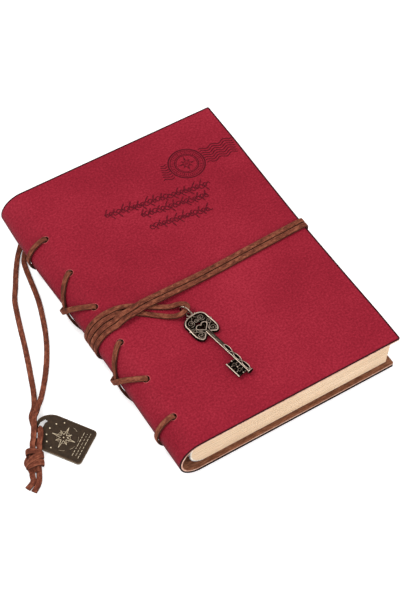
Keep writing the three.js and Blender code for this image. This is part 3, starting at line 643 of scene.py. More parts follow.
def punch(obj, holes):
    bm = bmesh.new()
    for hole in holes:
        drill(bm, *hole)
    cutter_mesh = bpy.data.meshes.new("drills")
    bm.to_mesh(cutter_mesh)
    bm.free()
    cutter = add_object("drills", cutter_mesh)
    cut = obj.modifiers.new("cut", "BOOLEAN")
    cut.operation = "DIFFERENCE"
    cut.object = cutter
    cut.solver = "EXACT"
    bpy.context.view_layer.update()
    graph = bpy.context.evaluated_depsgraph_get()
    whole = obj.data
    obj.data = bpy.data.meshes.new_from_object(obj.evaluated_get(graph))
    obj.modifiers.clear()
    bpy.data.objects.remove(cutter)
    for mesh in (whole, cutter_mesh):
        bpy.data.meshes.remove(mesh)


def rise(value, first, last):
    """From 0 at first to 1 at last."""
    return min(max((value - first) / (last - first), 0), 1)


def eased(value, first, last):
    t = rise(value, first, last)
    return t * t * (3 - 2 * t)


def burnish_and_shade(obj, fore_x):
    """Marks how dark the leather is: darkest along the outer edge, which is burnished and also holds
    painted shade, and painted shade on the spine, a little all along it and more towards its underside.
    """
    marks = []
    for vertex in obj.data.vertices:
        x, y, z = vertex.co / MM
        # Burnished edge with painted shade: the dark band is wider at the head and the fore-edge than at
        # the tail.
        inset = min(HALF_HEIGHT - y, (HALF_HEIGHT + y) / TAIL_SHARE, corner_reach(y, fore_x) - x)
        turn = turn_at(min(x, FLAT_X), z)
        # Painted shade: a little all along the spine, and more on its underside.
        under = eased(turn, 1.25, 1.7) * (1 - eased(turn, 2.3, 2.9))
        marks.append(max(rise(inset, EDGE_BAND, EDGE_DARK), 0.1 * sin(turn) + 0.5 * under))
    add_marks(obj, "edge", "POINT", marks)


front_holes = [(HOLE_TURN, y, HOLE_RADIUS) for y in HOLE_YS]
back_holes = [(BACK_HOLE_TURN, y, HOLE_RADIUS) for y in HOLE_YS]
back_holes.append((BACK_HOLE_TURN, TAG_HOLE_Y, TAG_HOLE_RADIUS))
back_holes.append((WRAP_START_TURN, WRAP_START_Y, WRAP_HOLE_RADIUS))

cover_sides = (("front", 1, FORE_X, front_holes, bend_front, 0.0),
               ("back", -1, BACK_FORE_X, back_holes, bend_back, LIP))
for side, sign, fore_x, holes, bend, lip in cover_sides:
    faces = [crimson, burnt_edge, burnt_edge]
    skin = cover_piece(f"leather_{side}", sign, fore_x, 0.0, -SKIN, faces, lip)
    punch(skin, holes)
    burnish_and_shade(bend(sharpen(skin, 40)), fore_x)
    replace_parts(skin, f"{side}_cover", "spine_leather")
for side, sign, fore_x, holes, bend, _ in cover_sides:
    faces = [cut_edge, lining_brown, cut_edge]
    lining = cover_piece(f"lining_{side}", sign, fore_x, -SKIN, -SKIN - LINING, faces)
    punch(lining, holes)
    bend(sharpen(lining, 40))
    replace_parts(lining, f"{side}_lining", "spine_lining")


def hole_rims(name, holes):
    """The pale cut rim round each lacing hole."""
    rounds, sides = 28, 8
    verts, faces, uvs = [], [], []
    for turn, y, radius in holes:
        normal = spine_normal(turn)
        along = Vector((0, 1, 0)).cross(normal)
        base = len(verts)
        for i in range(rounds):
            angle = 2 * pi * i / rounds
            out_way = along * cos(angle) + Vector((0, sin(angle), 0))
            foot = spine_point(turn, y, 0) + out_way * radius
            near = spine_point(turn_at(foot.x, foot.z), y + radius * sin(angle), 0.0)
            for k in range(sides):
                roll = 2 * pi * k / sides
                verts.append(near + out_way * RIM_WIDE * cos(roll) + normal * RIM_TALL * sin(roll))
                uvs.append((angle * radius, roll))
        faces += tube_faces(rounds, sides, closed=True, base=base)
    return outward(make_object(name, verts, faces, [hole_edge], uvs=uvs))


bend_front(hole_rims("hole_rims_front", front_holes))
bend_back(hole_rims("hole_rims_back", back_holes))


# Text block: bundles of leaves, each a little in or out of line.

LEAF_BUNDLES = 26
BUNDLE_GAP = 0.05
MIDDLE_GAP = 0.15
GLUE_DEPTH = 0.7


def leaf_half(name, sign, seed):
    rng = random.Random(seed)
    pitch = (BLOCK_RISE - MIDDLE_GAP) / LEAF_BUNDLES
    verts, faces, slots = [], [], []
    for b in range(LEAF_BUNDLES):
        t0 = MIDDLE_GAP + pitch * b
        t1 = t0 + pitch - BUNDLE_GAP
        fore = BLOCK_FORE_X + LEAF_REACH + LEAF_SLANT * sign * t0 / BLOCK_RISE - rng.uniform(0, 0.35)
        half = BLOCK_HALF - rng.uniform(0, 0.3)
        turn = acos(min((t0 + t1) / 2 / BLOCK_RISE, 0.999))
        spine = BLOCK_FLAT_X - BLOCK_DEPTH * sin(turn) + rng.uniform(0, 0.1)
        glued = spine + GLUE_DEPTH
        base = len(verts)
        for t in (t0, t1):
            verts += [(x, y, MID_Z + sign * t) for x, y in (
                (spine, -half), (glued, -half), (fore, -half), (fore, half), (glued, half), (spine, half))]
        quads = [(0, 5, 4, 1), (1, 4, 3, 2), (6, 7, 10, 11), (7, 8, 9, 10)]
        quads += [(k, (k + 1) % 6, (k + 1) % 6 + 6, k + 6) for k in range(6)]
        faces += [tuple(base + corner for corner in quad) for quad in quads]
        slots += [2, 2, 2, 2, 1, 0, 0, 0, 1, 1]
    return outward(make_object(name, verts, faces, [paper, glue, leaf_face], slots, smooth=False))


def jacket_half(name, sign):
    """Half of the jacket, a clear sheet round the backs of the leaves and on over their outer face."""
    middle, end = pi / 2 - 0.08 * sign, (0.0 if sign > 0 else pi)
    bends, flats, rows = 12, 20, 25
    columns = [(middle + (end - middle) * i / bends, 0.0) for i in range(bends + 1)]
    columns += [(end, i / flats * (JACKET_FORE_X - BLOCK_FLAT_X)) for i in range(1, flats + 1)]
    verts, uvs = [], []
    for grow in (JACKET_GAP + JACKET_THICK, JACKET_GAP):
        for row in range(rows):
            y = JACKET_HALF * (2 * row / (rows - 1) - 1)
            for turn, run in columns:
                x = BLOCK_FLAT_X - (BLOCK_DEPTH + grow) * sin(turn) + run
                verts.append((x, y, MID_Z + (BLOCK_RISE + grow) * cos(turn)))
                uvs.append((turn * 9 + run, y))
    # The columns round the spine take the denser sheet, a painted highlight on the bend.
    faces, slots = sheet_faces(rows, len(columns), lambda part, col: int(col >= bends))
    return sharpen(outward(make_object(name, verts, faces, [clear_spine_painted_highlight, clear], slots, uvs)), 40)


for side, sign, seed in (("front", 1, 11), ("back", -1, 12)):
    leaves = ride_block(leaf_half(f"leaves_{side}", sign, seed), side)
    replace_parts(leaves, f"{side}_pages")
for side, sign in (("front", 1), ("back", -1)):
    sheet = ride_block(jacket_half(f"jacket_sheet_{side}", sign), side)
    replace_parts(sheet, f"jacket_{side}", "jacket_spine")


# Lacing

def hump(distance, flat, width):
    """From 1 within flat of the middle down to 0 over a width."""
    return 0.5 + 0.5 * cos(pi * rise(abs(distance), flat, flat + width))


def bend_through(turn, y, towards):
    """The end of a stretch that dives into a hole: points and normals from inside out."""
    up = spine_normal(turn)
    foot = spine_point(turn, y, 0)
    along = towards - foot
    along = (along - up * along.dot(up)).normalized()
    low = OUTER_PROUD - HOLE_BEND
    bend = [(foot + up * THROUGH_PROUD, -along)]
    for k in range(7):
        angle = pi / 2 * k / 7
        point = foot + along * HOLE_BEND * (1 - cos(angle)) + up * (low + HOLE_BEND * sin(angle))
        bend.append((point, (up * sin(angle) - along * cos(angle)).normalized()))
    return bend


def lace_route(back_y, front_y, lift):
    """From the back hole round the spine to the front one, lifted where it crosses another lace."""
    first, last = BACK_HOLE_TURN - LACE_MARGIN, HOLE_TURN + LACE_MARGIN
    surface = []
    for i in range(41):
        share = i / 40
        turn = first + (last - first) * share
        y = back_y + (front_y - back_y) * (0.06 + 0.88 * share)
        proud = OUTER_PROUD + LACE_LIFT + lift * hump(turn - pi / 2, CROSS_FLAT, CROSS_FADE)
        surface.append((spine_point(turn, y, proud), spine_normal(turn)))
    start = bend_through(BACK_HOLE_TURN, back_y, surface[0][0])
    end = bend_through(HOLE_TURN, front_y, surface[-1][0])
    return start + surface + end[::-1]


def split_ribbon(name, route, nodes, seed):
    """Two ribbons that meet at the middle of the spine, one for each side."""
    round_spine_only = [i for i, (point, _) in enumerate(route) if point.x <= FLAT_X]
    middle = min(round_spine_only, key=lambda i: abs(route[i][0].z - MID_Z))
    halves = (("back", route[:middle + 1], bend_back), ("front", route[middle:], bend_front))
    for side, part, bend in halves:
        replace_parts(bend(ribbon(f"{name}_{side}", part, seed)), *nodes)


y1, y2, y3, y4, y5, y6 = HOLE_YS
laces = [(y1, y1, 0), (y3, y2, 0), (y2, y3, CROSS_LIFT), (y5, y4, 0), (y4, y5, CROSS_LIFT), (y6, y6, 0)]
for number, lace in enumerate(laces, 1):
    split_ribbon(f"lace_{number}", lace_route(*lace), [f"lace_outer_{number}"], 20 + number)


def inner_lace(name, turn, from_y, to_y, seed):
    reach = CORD_W / 2 * copysign(1, to_y - from_y)
    ys = [from_y - reach + (to_y - from_y + 2 * reach) * i / 12 for i in range(13)]
    route = [(spine_point(turn, y, INNER_PROUD), spine_normal(turn)) for y in ys]
    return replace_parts(ribbon(name + "_cord", route, seed), name)


for name, body, turn, from_y, to_y, seed in (
        ("lace_inner_front_1", "front_cover", HOLE_TURN, y1, y2, 31),
        ("lace_inner_front_2", "front_cover", HOLE_TURN, y3, y4, 31),
        ("lace_inner_front_3", "front_cover", HOLE_TURN, y5, y6, 31),
        ("lace_inner_back_1", "back_cover", BACK_HOLE_TURN, y2, y3, 32),
        ("lace_inner_back_2", "back_cover", BACK_HOLE_TURN, y4, y5, 32),
        ("lace_inner_head", "back_cover", BACK_HOLE_TURN, y1, TAG_HOLE_Y, 32)):
    flatten(inner_lace(name, turn, from_y, to_y, seed), body)
bend_back(inner_lace("lace_inner_return", 1.75, y6, TAG_HOLE_Y, 33))

# Wrap cord

WRAP_FRONT_Z = FRONT_Z + CLEAR + CORD_T / 2
WRAP_UNDER_Z = CORD_T / 2
WRAP_OVER_Z = WRAP_FRONT_Z + CORD_T + SEAT
START_YS = [WRAP_START_Y + PITCH / 2, WRAP_START_Y - PITCH / 2]
SPINE_YS = [-1.4, -1.4 - PITCH]
FORE_YS = [-3.4, -3.4 - PITCH]
EDGE_START = 127.0
EDGE_BEND = 1.25
WRAP_CENTRE = [
    (15.5, -9.6), (18.5, -9.0), (30.5, -7.8), (42.5, -7.6), (68, -7.1), (98.5, -6.0), (126, -5.1)]
OUT_X = FORE_X + CLEAR + CORD_T / 2


def round_spine(first, last, y, steps=40):
    turns = [first + (last - first) * i / steps for i in range(steps + 1)]
    return [(spine_point(t, y, OUTER_PROUD), spine_normal(t)) for t in turns]


def corner_arc(y, centre_z, first, last):
    """A quarter bend at the fore-edge."""
    arc = []
    for i in range(9):
        angle = first + (last - first) * i / 8
        normal = Vector((cos(angle), 0, sin(angle)))
        arc.append((Vector((OUT_X - EDGE_BEND, y, centre_z)) + normal * EDGE_BEND, normal))
    return arc


def front_run(i):
    """From the fold across the front cover, round its edge and down to the back's."""
    offset = (0.5 - i) * PITCH
    points = [at(SPINE_DEPTH + 0.2, START_YS[i], WRAP_FRONT_Z)]
    for from_spine, y in WRAP_CENTRE:
        lift = hump(from_spine - 28.5, 12, 6) * (WRAP_OVER_Z - WRAP_FRONT_Z)
        points.append(at(from_spine, y + offset, WRAP_FRONT_Z + lift))
    points.insert(3, at(22, WRAP_CENTRE[1][1] + 0.2 + offset, WRAP_OVER_Z))
    points.append(at(EDGE_START, FORE_YS[i], WRAP_FRONT_Z))
    route = level(points, 16)
    route += corner_arc(FORE_YS[i], WRAP_FRONT_Z - EDGE_BEND, pi / 2, 0)
    for z in (20, 14, 8, WRAP_UNDER_Z + EDGE_BEND + 0.1):
        route.append((Vector((OUT_X, FORE_YS[i], z)), Vector((1, 0, 0))))
    return route


def under_run(i):
    route = corner_arc(FORE_YS[i], WRAP_UNDER_Z + EDGE_BEND, 0, -pi / 2)
    for x, y in ((BACK_FORE_X - 20, FORE_YS[i]), (FLAT_X + 12, SPINE_YS[i]), (FLAT_X + 0.2, SPINE_YS[i])):
        route.append((Vector((x, y, WRAP_UNDER_Z)), DOWN.copy()))
    return route


for i, strand in enumerate("ab"):
    start = round_spine(WRAP_START_TURN, 0, START_YS[i])
    start = bend_through(WRAP_START_TURN, START_YS[i], start[4][0]) + start[5:]
    split_ribbon(f"wrap_{strand}", start + front_run(i)[1:],
                 [f"wrap_start_{strand}", f"wrap_front_{strand}", f"wrap_edge_{strand}"], 40 + i)
    under = under_run(i) + round_spine(pi, pi / 2, SPINE_YS[i], 20)
    wrap_return = bend_back(ribbon(f"wrap_return_{strand}", under, 42 + i))
    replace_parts(wrap_return, f"wrap_under_{strand}", f"wrap_spine_{strand}")

KEY_RING_RADIUS = 2.9
KEY_RING_WIRE = 0.45
RING_PLACE = (46.2, -23.2)
KEY_RING_Z = FRONT_Z + CLEAR + KEY_RING_WIRE + KEY_RING_RADIUS
RING_RISE = KEY_RING_Z - WRAP_FRONT_Z
key_loop_points = [at(from_spine, y, WRAP_FRONT_Z + lift) for from_spine, y, lift in (
    (12.1, SPINE_YS[0], 0), (18.0, -1.8, 0), (23.8, -3.9, 0), (30.6, -8.3, 0), (36.8, -12.7, 0),
    (41.8, -15.7, 0.6), (46.2, -17.6, 1.9), (48.7, -20.0, RING_RISE - 0.2), (48.4, -22.0, RING_RISE),
    (*RING_PLACE, RING_RISE), (43.0, -23.6, RING_RISE - 0.7), (38.6, -21.2, 0.6), (33.6, -16.9, 0),
    (28.2, -12.4, 0), (22.0, -7.9, 0), (16.5, -4.9, 0), (12.1, SPINE_YS[1], 0))]
key_loop = round_spine(pi / 2, 0, SPINE_YS[0], 20)[:-1] + level(key_loop_points, 10)
key_loop += round_spine(0, pi / 2, SPINE_YS[1], 20)[1:]
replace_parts(bend_front(ribbon("key_loop", key_loop, 50)), "wrap_key_loop", "wrap_spine_a", "wrap_spine_b")
flatten(inner_lace("wrap_stopper_knot", WRAP_START_TURN, *STOPPER_YS, 51), "spine")

# Tag cord

GROUND = CORD_T / 2 + 0.02
TAG_AXIS = Vector((0.575, -0.818)).normalized()
TAG_CROWN = at(-47.6, -28.6, 0)
TAG_BAR_LIFT = CORD_T + SEAT
TAG_THICK = 1.5
TAG_LENGTH = 31.0
TAG_HALF = 21.3 / 2
KNOT_AT = at(-57.3, -47.4, 0)
KNOT_HEADING = Vector((-0.42, -0.91)).normalized()
KNOT_LONG = 14.0
KNOT_TALL = 7.2
KNOT_END = KNOT_LONG / 2
OVER_TAG = 2 * CORD_T + TAG_THICK + 2 * SEAT - CORD_T / 2 + 0.25
EXIT_AT = at(HOLE_FROM_SPINE - 0.2, TAG_HOLE_Y - 0.4, 0)
EXIT_HEADING = Vector((-0.65, -0.76)).normalized()


def beside(origin, heading, along, across, z):
    """A place along the heading from the origin and across it, at height z."""
    return Vector((origin.x + heading.x * along - heading.y * across,
                   origin.y + heading.y * along + heading.x * across, z))


def near_exit(along, across):
    return beside(EXIT_AT, EXIT_HEADING, along, -across, GROUND)


def near_tag(along, across, z):
    return beside(TAG_CROWN, TAG_AXIS, along, across, z)


def near_knot(along, across, z):
    return beside(KNOT_AT, KNOT_HEADING, along, across, z)


tag_route_a = [near_exit(along, PITCH / 2) for along in (0, 7.8, 11.5)]
tag_route_a += [at(u, y, GROUND) for u, y in (
    (-2.0, 74.4), (-5.4, 69.6), (-9.8, 62.6), (-14.0, 55.2), (-18.4, 47.6), (-23.6, 32.6), (-28.6, 16.5),
    (-33.6, 2.0), (-38.2, -10.4), (-41.8, -17.4))]
tag_route_a += [near_tag(-4.4, 5.4, GROUND), near_tag(-2.7, 2.9, GROUND), near_tag(-1.1, 1.1, GROUND)]
cord_a = level(tag_route_a)
lean = Vector((-TAG_AXIS.x, -TAG_AXIS.y, 1)).normalized()
back = Vector((-TAG_AXIS.x, -TAG_AXIS.y, 0.1)).normalized()
hitch = [
    (near_tag(0.5, 0.1, GROUND), UP), (near_tag(1.7, -0.3, GROUND), UP),
    (near_tag(2.6, -0.5, GROUND + 0.45), lean), (near_tag(2.95, -0.55, GROUND + 1.3), back),
    (near_tag(3.05, -0.55, OVER_TAG - 1.2), back), (near_tag(3.4, -0.7, OVER_TAG - 0.4), lean),
    (near_tag(4.2, -1.3, OVER_TAG), UP), (near_tag(5.3, -3.2, OVER_TAG), UP),
    (near_tag(6.6, -6.1, OVER_TAG), UP),
    (near_knot(-KNOT_END - 2.4, 2.8, OVER_TAG - 0.1), UP),
    (near_knot(-KNOT_END - 0.2, 2.8, OVER_TAG - 0.2), UP),
    (near_knot(-KNOT_END + 3, 2.2, OVER_TAG - 0.8), UP),
]
cord_a += smooth_pairs(hitch, 4)
strand_a = ribbon("tag_strand_a", cord_a, 60, step=1.0)

CROSS_Z = GROUND + CORD_T + SEAT
tag_route_b = [near_exit(along, -PITCH / 2) for along in (0, 7.8, 11.5)]
tag_route_b += [at(u, y, GROUND) for u, y in (
    (0.9, 72.4), (-1.7, 68.2), (-3.4, 62.0), (-4.9, 54.0), (-7.4, 41.4), (-11.4, 28.6), (-16.2, 16.3),
    (-21.2, 6.6), (-26.6, -2.0))]
tag_route_b += [
    at(-32.4, -10.0, GROUND + 0.17), at(-36.6, -15.2, GROUND + 0.7), at(-40.0, -18.8, CROSS_Z + 0.2),
    at(-43.0, -22.2, CROSS_Z + 0.9), near_tag(-1.9, 3.9, OVER_TAG - 0.2), near_tag(-0.2, 0.4, OVER_TAG),
    near_tag(1.5, -3.2, OVER_TAG), near_tag(3.4, -7.2, OVER_TAG),
    near_knot(-KNOT_END - 2.4, -0.6, OVER_TAG - 0.2), near_knot(-KNOT_END - 0.2, -0.6, OVER_TAG - 0.4),
    near_knot(-KNOT_END + 3, -0.4, OVER_TAG - 0.9)]
cord_b = level(tag_route_b)
strand_b = ribbon("tag_strand_b", cord_b, 61, step=1.0)


def knot_strand(name, points, seed, width=CORD_W, thickness=CORD_T):
    """A stretch of the knot: each point is along, across, z and its normal in the same order, if not up."""
    pairs = []
    for point in points:
        along, across, up = point[3:] or (0, 0, 1)
        pairs.append((near_knot(*point[:3]), near_knot(along, across, up) - near_knot(0, 0, 0)))
    return ribbon(name, smooth_pairs(pairs, 8), seed, width, thickness, step=0.6)


def knot_band(name, shift, lean_share, radius_wide, radius_tall, seed, first, last, width):
    """A turn round the knot, leaning along it as it goes."""
    points = []
    for i in range(13):
        angle = radians(first + (last - first) * i / 12)
        ca, sa = cos(angle), sin(angle)
        place = (shift + lean_share * ca, radius_wide * ca, KNOT_TALL / 2 + radius_tall * sa)
        points.append((*place, 0, ca, sa))
    return knot_strand(name, points, seed, width, 1.35)


knot_pieces = [
    knot_band("knot_turn_top", -4.1, 0.9, 3.9, 2.85, 70, -35, 215, 3.3),
    knot_band("knot_turn_diagonal", -0.2, -2.7, 4.2, 2.75, 71, -30, 205, 3.9),
    knot_band("knot_turn_low", 3.0, -1.5, 4.1, 2.5, 72, -30, 150, 3.6),
    knot_strand("knot_side", [
        (-3.4, -3.6, 2.2, 0, -1, 0.4), (-1.5, -4.3, 3.0, 0, -1, 0.6), (1.2, -4.1, 3.6, 0, -1, 1.2),
        (3.4, -2.9, 3.5, 0, -0.5, 1), (6.2, -1.7, 2.2)], 73, 3.2, 1.4),
    knot_strand("knot_core_a", [
        (-5.5, 1.7, 3.4), (-2, 1.6, 3.4), (2, 1.5, 3.0), (5.5, 1.5, 2.0)], 74, 3.4, 3.2),
    knot_strand("knot_core_b", [
        (-5.5, -1.2, 3.0), (-2, -1.5, 3.2), (2, -1.5, 2.8), (5.5, -1.5, 2.0)], 75, 3.4, 3.2),
]
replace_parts(knot_pieces[0], "tag_knot")
tails = []
for strand, across, last_points, seed in (
        ("a", -1.9, [at(-63.0, -55.9, GROUND + 0.4), at(-67.6, -58.3, GROUND + 0.1)], 75),
        ("b", 1.6, [at(-61.3, -58.4, GROUND + 0.4), at(-65.6, -61.4, GROUND + 0.1)], 76)):
    first_points = [near_knot(KNOT_END - 2.5, across, GROUND + 1.3),
                    near_knot(KNOT_END + 0.2, across, GROUND + 0.8)]
    tails.append(ribbon(f"tag_tail_{strand}_cord", level(first_points + last_points), seed, steady=True))
    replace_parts(tails[-1], f"tag_tail_{strand}")
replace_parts(strand_a, "tag_exit_a", "tag_cord_a", "tag_cord_hitch")
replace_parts(strand_b, "tag_exit_b", "tag_cord_b")
for piece in [strand_a, strand_b, *knot_pieces, *tails]:
    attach(piece, "back_cover")


# Charms: small cast pieces, each gathered from slabs, wires and beads in its own directions.

class Casting:
    def __init__(self, material, origin, turn, tilt):
        self.material = material
        turned = Matrix.Rotation(turn, 4, "Z") @ Matrix.Rotation(tilt, 4, "Y")
        self.place = Matrix.Translation(origin) @ turned
        self.verts, self.faces, self.relief = [], [], []

    def add(self, points, faces, relief):
        base = len(self.verts)
        self.verts += [self.place @ Vector(p) for p in points]
        self.faces += [tuple(base + i for i in face) for face in faces]
        self.relief += relief

    def wire(self, points, radius, squash=1.0, closed=False, low=0.1, high=1.0, sides=10, under=0.0):
        """A wire, round or flattened, bright on top; under widens a dark wire below it, painted shade for
        the gaps between the wires.
        """
        points = [Vector(p) for p in points]
        if under:
            self.wire([p - UP * 0.42 for p in points], radius + under, 0.8, closed, 0.0, 0.0, sides)
        rings, relief = [], []
        for i, point in enumerate(points):
            before, after = neighbours(points, i, closed)
            tangent = (after - before).normalized()
            side = tangent.cross(UP).normalized()
            up = side.cross(tangent).normalized()
            for k in range(sides):
                angle = 2 * pi * k / sides
                rings.append(point + side * radius * cos(angle) + up * radius * squash * sin(angle))
                relief.append(low + (high - low) * (0.5 + 0.5 * sin(angle)) ** 2.6)
        self.add(rings, tube_faces(len(points), sides, closed), relief)

    def bead(self, x, y, z, radius, squash=0.8, high=1.0):
        points, relief, faces = [], [], []
        rows, cols = 6, 10
        for r in range(rows + 1):
            fall = pi * r / rows
            for c in range(cols):
                spot = polar(x, y, radius * sin(fall), 2 * pi * c / cols)
                points.append((*spot, z + radius * squash * cos(fall)))
                relief.append(high * (0.5 + 0.5 * cos(fall)) ** 1.6)
        for r in range(rows):
            for c in range(cols):
                n = (c + 1) % cols
                faces.append((r * cols + c, (r + 1) * cols + c, (r + 1) * cols + n, r * cols + n))
        self.add(points, faces, relief)

    def slab(self, outline, holes, z0, z1, relief=0.2, side_relief=0.5):
        """A flat plate with its holes, the sides a little brighter than the face."""
        loops = [outline, *holes]
        flat = [Vector((x, y, 0)) for loop in loops for x, y in loop]
        triangles = tessellate_polygon([[Vector((x, y, 0)) for x, y in loop] for loop in loops])
        count = len(flat)
        points = [(p.x, p.y, z) for z in (z0, z1) for p in flat]
        faces = [tuple(i + base for i in t) for base in (0, count) for t in triangles]
        self.add(points, faces, [0.0] * count + [relief] * count)
        for loop in loops:
            n = len(loop)
            self.add([(x, y, z) for z in (z0, z1) for x, y in loop],
                     [(i, (i + 1) % n, n + (i + 1) % n, n + i) for i in range(n)],
                     [side_relief * 0.6] * n + [side_relief] * n)

    def finish(self, name, node_name, body):
        obj = make_object(name, self.verts, self.faces, [self.material])
        add_marks(obj, "relief", "CORNER", [self.relief[i] for face in self.faces for i in face])
        sharpen(outward(obj, weld=2e-6), 45)
        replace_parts(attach(obj, body), node_name)


def spiral(x, y, radius, inner, start, turns, z, steps=30):
    shares = [i / steps for i in range(steps + 1)]
    return [(*polar(x, y, radius + (inner - radius) * t, start + 2 * pi * turns * t), z) for t in shares]


# Key charm: s runs from its eye to its tip, w across it.
KEY_LENGTH = 49.0
KEY_LIFT = 0.3
BOW_LENGTH = 17.6
BOW_HALF = 7.4
BOW_CENTRE = 1.9 + BOW_LENGTH / 2 - 0.9
BOW_END = BOW_CENTRE + BOW_LENGTH / 2
STEM_Z = 1.75
BIT_LENGTH = 9.5
BIT_REACH = 7.0
KEY_TIP = KEY_LENGTH - 1.9
ring_heading = Vector((0.5, -0.866)).normalized()
ring_place = at(*RING_PLACE, KEY_RING_Z)
key_eye = beside(ring_place, ring_heading, 2.35, 0, FRONT_Z + SEAT + KEY_LIFT)


def bow_edge(angle, share=1.0):
    along, across = cos(angle), sin(angle)
    notch = 1 - 0.4 * exp((along - 1) / 0.08)
    waist = 1 - 0.05 * exp(-((along + 0.12) ** 2) / 0.03)
    s = BOW_LENGTH / 2 * copysign(abs(along) ** 0.6, along) * notch * share
    return BOW_CENTRE + s, BOW_HALF * copysign(abs(across) ** 0.72, across) * waist * share


def heart_edge(angle, share=1.0):
    size = BOW_HALF * 0.36 / 16 * share
    across = 16 * sin(angle) ** 3
    along = 13 * cos(angle) - 5 * cos(2 * angle) - 2 * cos(3 * angle) - cos(4 * angle)
    return BOW_CENTRE + 0.6 - size * along * 1.15, size * across * 1.35


def around(edge, share, z, steps):
    return [(*edge(2 * pi * (i + 0.5) / steps, share), z) for i in range(steps)]


def cast_key():
    key = Casting(key_bronze, key_eye, atan2(-0.985, 0.175), atan2(KEY_LIFT, KEY_LENGTH))
    key.wire([(*place, 1.5) for place in circle(0, 0, 1.5, 24)], 0.42, closed=True)
    # Wires given under get a wider dark wire below them: painted shade in the gaps of the bow, its scrolls
    # and its neck.
    key.wire(around(bow_edge, 0.925, 1.15, 96), 0.6, 1.25, closed=True, low=0.0, under=0.3)
    key.wire(around(bow_edge, 0.765, 1.2, 96), 0.24, 1.1, closed=True, low=0.0, high=0.7, under=0.3)
    key.wire(around(heart_edge, 0.92, 1.3, 48), 0.4, 1.2, closed=True, low=0.0, under=0.4)
    key.wire(around(heart_edge, 0.45, 1.1, 36), 0.24, 1.0, closed=True, low=0.0, high=0.6, under=0.4)
    scrolls = [(BOW_CENTRE + 4.1, 3.9, 2.35, 3.3, 1.7), (BOW_CENTRE - 4.5, 3.4, 2.1, 0.6, -1.6),
               (BOW_CENTRE + 0.1, 5.0, 1.55, 2.2, 1.4)]
    curl = {"radius": 0.32, "squash": 1.2, "low": 0.0, "high": 0.85, "under": 0.42}
    for side in (-1, 1):
        for s, w, r, start, turns in scrolls:
            key.wire(spiral(s, side * w, r, 0.4, side * start, side * turns, 1.25), **curl)
            key.bead(s, side * w, 1.35, 0.42, high=0.75)
        key.wire([(BOW_CENTRE + 6.2, side * 0.9, 1.3), (BOW_CENTRE + 4.4, side * 1.5, 1.4),
                  (BOW_CENTRE + 2.6, side * 2.9, 1.4), (BOW_CENTRE + 1.2, side * 4.6, 1.3)], 0.32, low=0.0,
                 high=0.9, under=0.4)
        neck = [(1.9, 0.5, 1.3), (3.2, 1.0, 1.4), (4.4, 2.2, 1.3), (6.3, 2.5, 1.3)]
        key.wire([(s, side * w, z) for s, w, z in neck], 0.3, low=0.0, high=0.8, under=0.4)
        key.bead(BOW_CENTRE - 0.9, side * 7.0, 1.2, 0.72)
        key.bead(BOW_CENTRE + 5.9, side * 5.5, 1.2, 0.62)
        key.bead(1.4, side * 2.6, 1.3, 0.6)
    key.wire(spiral(BOW_CENTRE - 4.2, 0.0, 1.3, 0.4, 0.5, 1.5, 1.25), **curl)
    start, worn_end = BOW_END - 4.3, BOW_END + 8.4
    for s0, s1, high in ((start, worn_end, 0.72), (worn_end, KEY_TIP, 0.1)):
        key.wire([(s0, 0, STEM_Z), (s1, 0, STEM_Z)], 1.2, 0.85, low=0.0, high=high, sides=14)
    key.wire([(start, -0.95, 2.25), (KEY_TIP - 0.2, -0.95, 2.25)], 0.42, low=0.4)
    key.wire([(start, 0.98, 2.15), (KEY_TIP - 0.4, 0.98, 2.15)], 0.26, low=0.1, high=0.7)
    collar = [(KEY_TIP - 0.4, 1.5 * y, STEM_Z + 1.2 * z) for y, z in circle(0, 0, 1, 20)]
    key.wire(collar, 0.36, closed=True, low=0.1)
    for s in (29.4, 36.4, 43.0):
        loop = [(s + 2.9 * x, 0.35 + 0.95 * y, 2.6) for x, y in circle(0, 0, 1, 24)]
        key.wire(loop, 0.27, closed=True, low=0.1, sides=8)
        key.bead(s + 3.4, 0.45, 2.7, 0.42)
    low_s, high_s, rim = KEY_TIP - 1.6 - BIT_LENGTH, KEY_TIP - 1.6, -BIT_REACH + 0.3
    key.slab([(low_s, -1.0), (low_s, rim), (high_s, rim), (high_s, -1.0)], [], 1.2, 1.75, 0.02, 0.3)
    key.wire([(low_s - 0.3, rim + 0.1, 1.75), (high_s + 0.3, rim + 0.1, 1.75)], 0.5, 1.1, low=0.3)
    for s in (low_s + 0.3, (low_s + high_s) / 2, high_s - 0.3):
        key.wire([(s, -1.0, 1.85), (s, -2.6, 1.85)], 0.42, low=0.1, high=0.8)
        key.wire([(s, -4.9, 1.85), (s, -BIT_REACH + 0.6, 1.85)], 0.36, low=0.1, high=0.7)
        key.bead(s, -3.4, 1.95, 0.62)
    for s in (low_s + 2.7, high_s - 2.7):
        key.wire(spiral(s, -3.8, 1.25, 0.5, 0.5, 1.1, 1.8, 14), 0.26, low=0.1, high=0.85, sides=8)
        key.bead(s, -5.4, 1.9, 0.42)
        key.bead(s, -1.9, 1.9, 0.4)
    key.finish("key_cast", "key_charm", "key")


def cast_ring():
    """A standing ring of wire with a narrow gap, bright on its outer side."""
    ring = Casting(key_bronze, ring_place, atan2(ring_heading.y, ring_heading.x), 0)
    stops, sides = 49, 10
    rings, relief = [], []
    for i in range(stops):
        angle = radians(100) + radians(352) * i / (stops - 1)
        for k in range(sides):
            roll = 2 * pi * k / sides
            x, z = polar(0, 0, KEY_RING_RADIUS + KEY_RING_WIRE * cos(roll), angle)
            rings.append((x, KEY_RING_WIRE * sin(roll), z))
            relief.append(0.65 + 0.3 * cos(roll))
    ring.add(rings, tube_faces(stops, sides), relief)
    ring.finish("key_ring_cast", "key_ring", "front_cover")


cast_key()
cast_ring()


# Tag charm: a runs from its crown to its far end, o across it.
TAG_CORNER = 2.2
TAG_SHOULDER = 8.5
TAG_FLOOR = TAG_THICK - 0.3


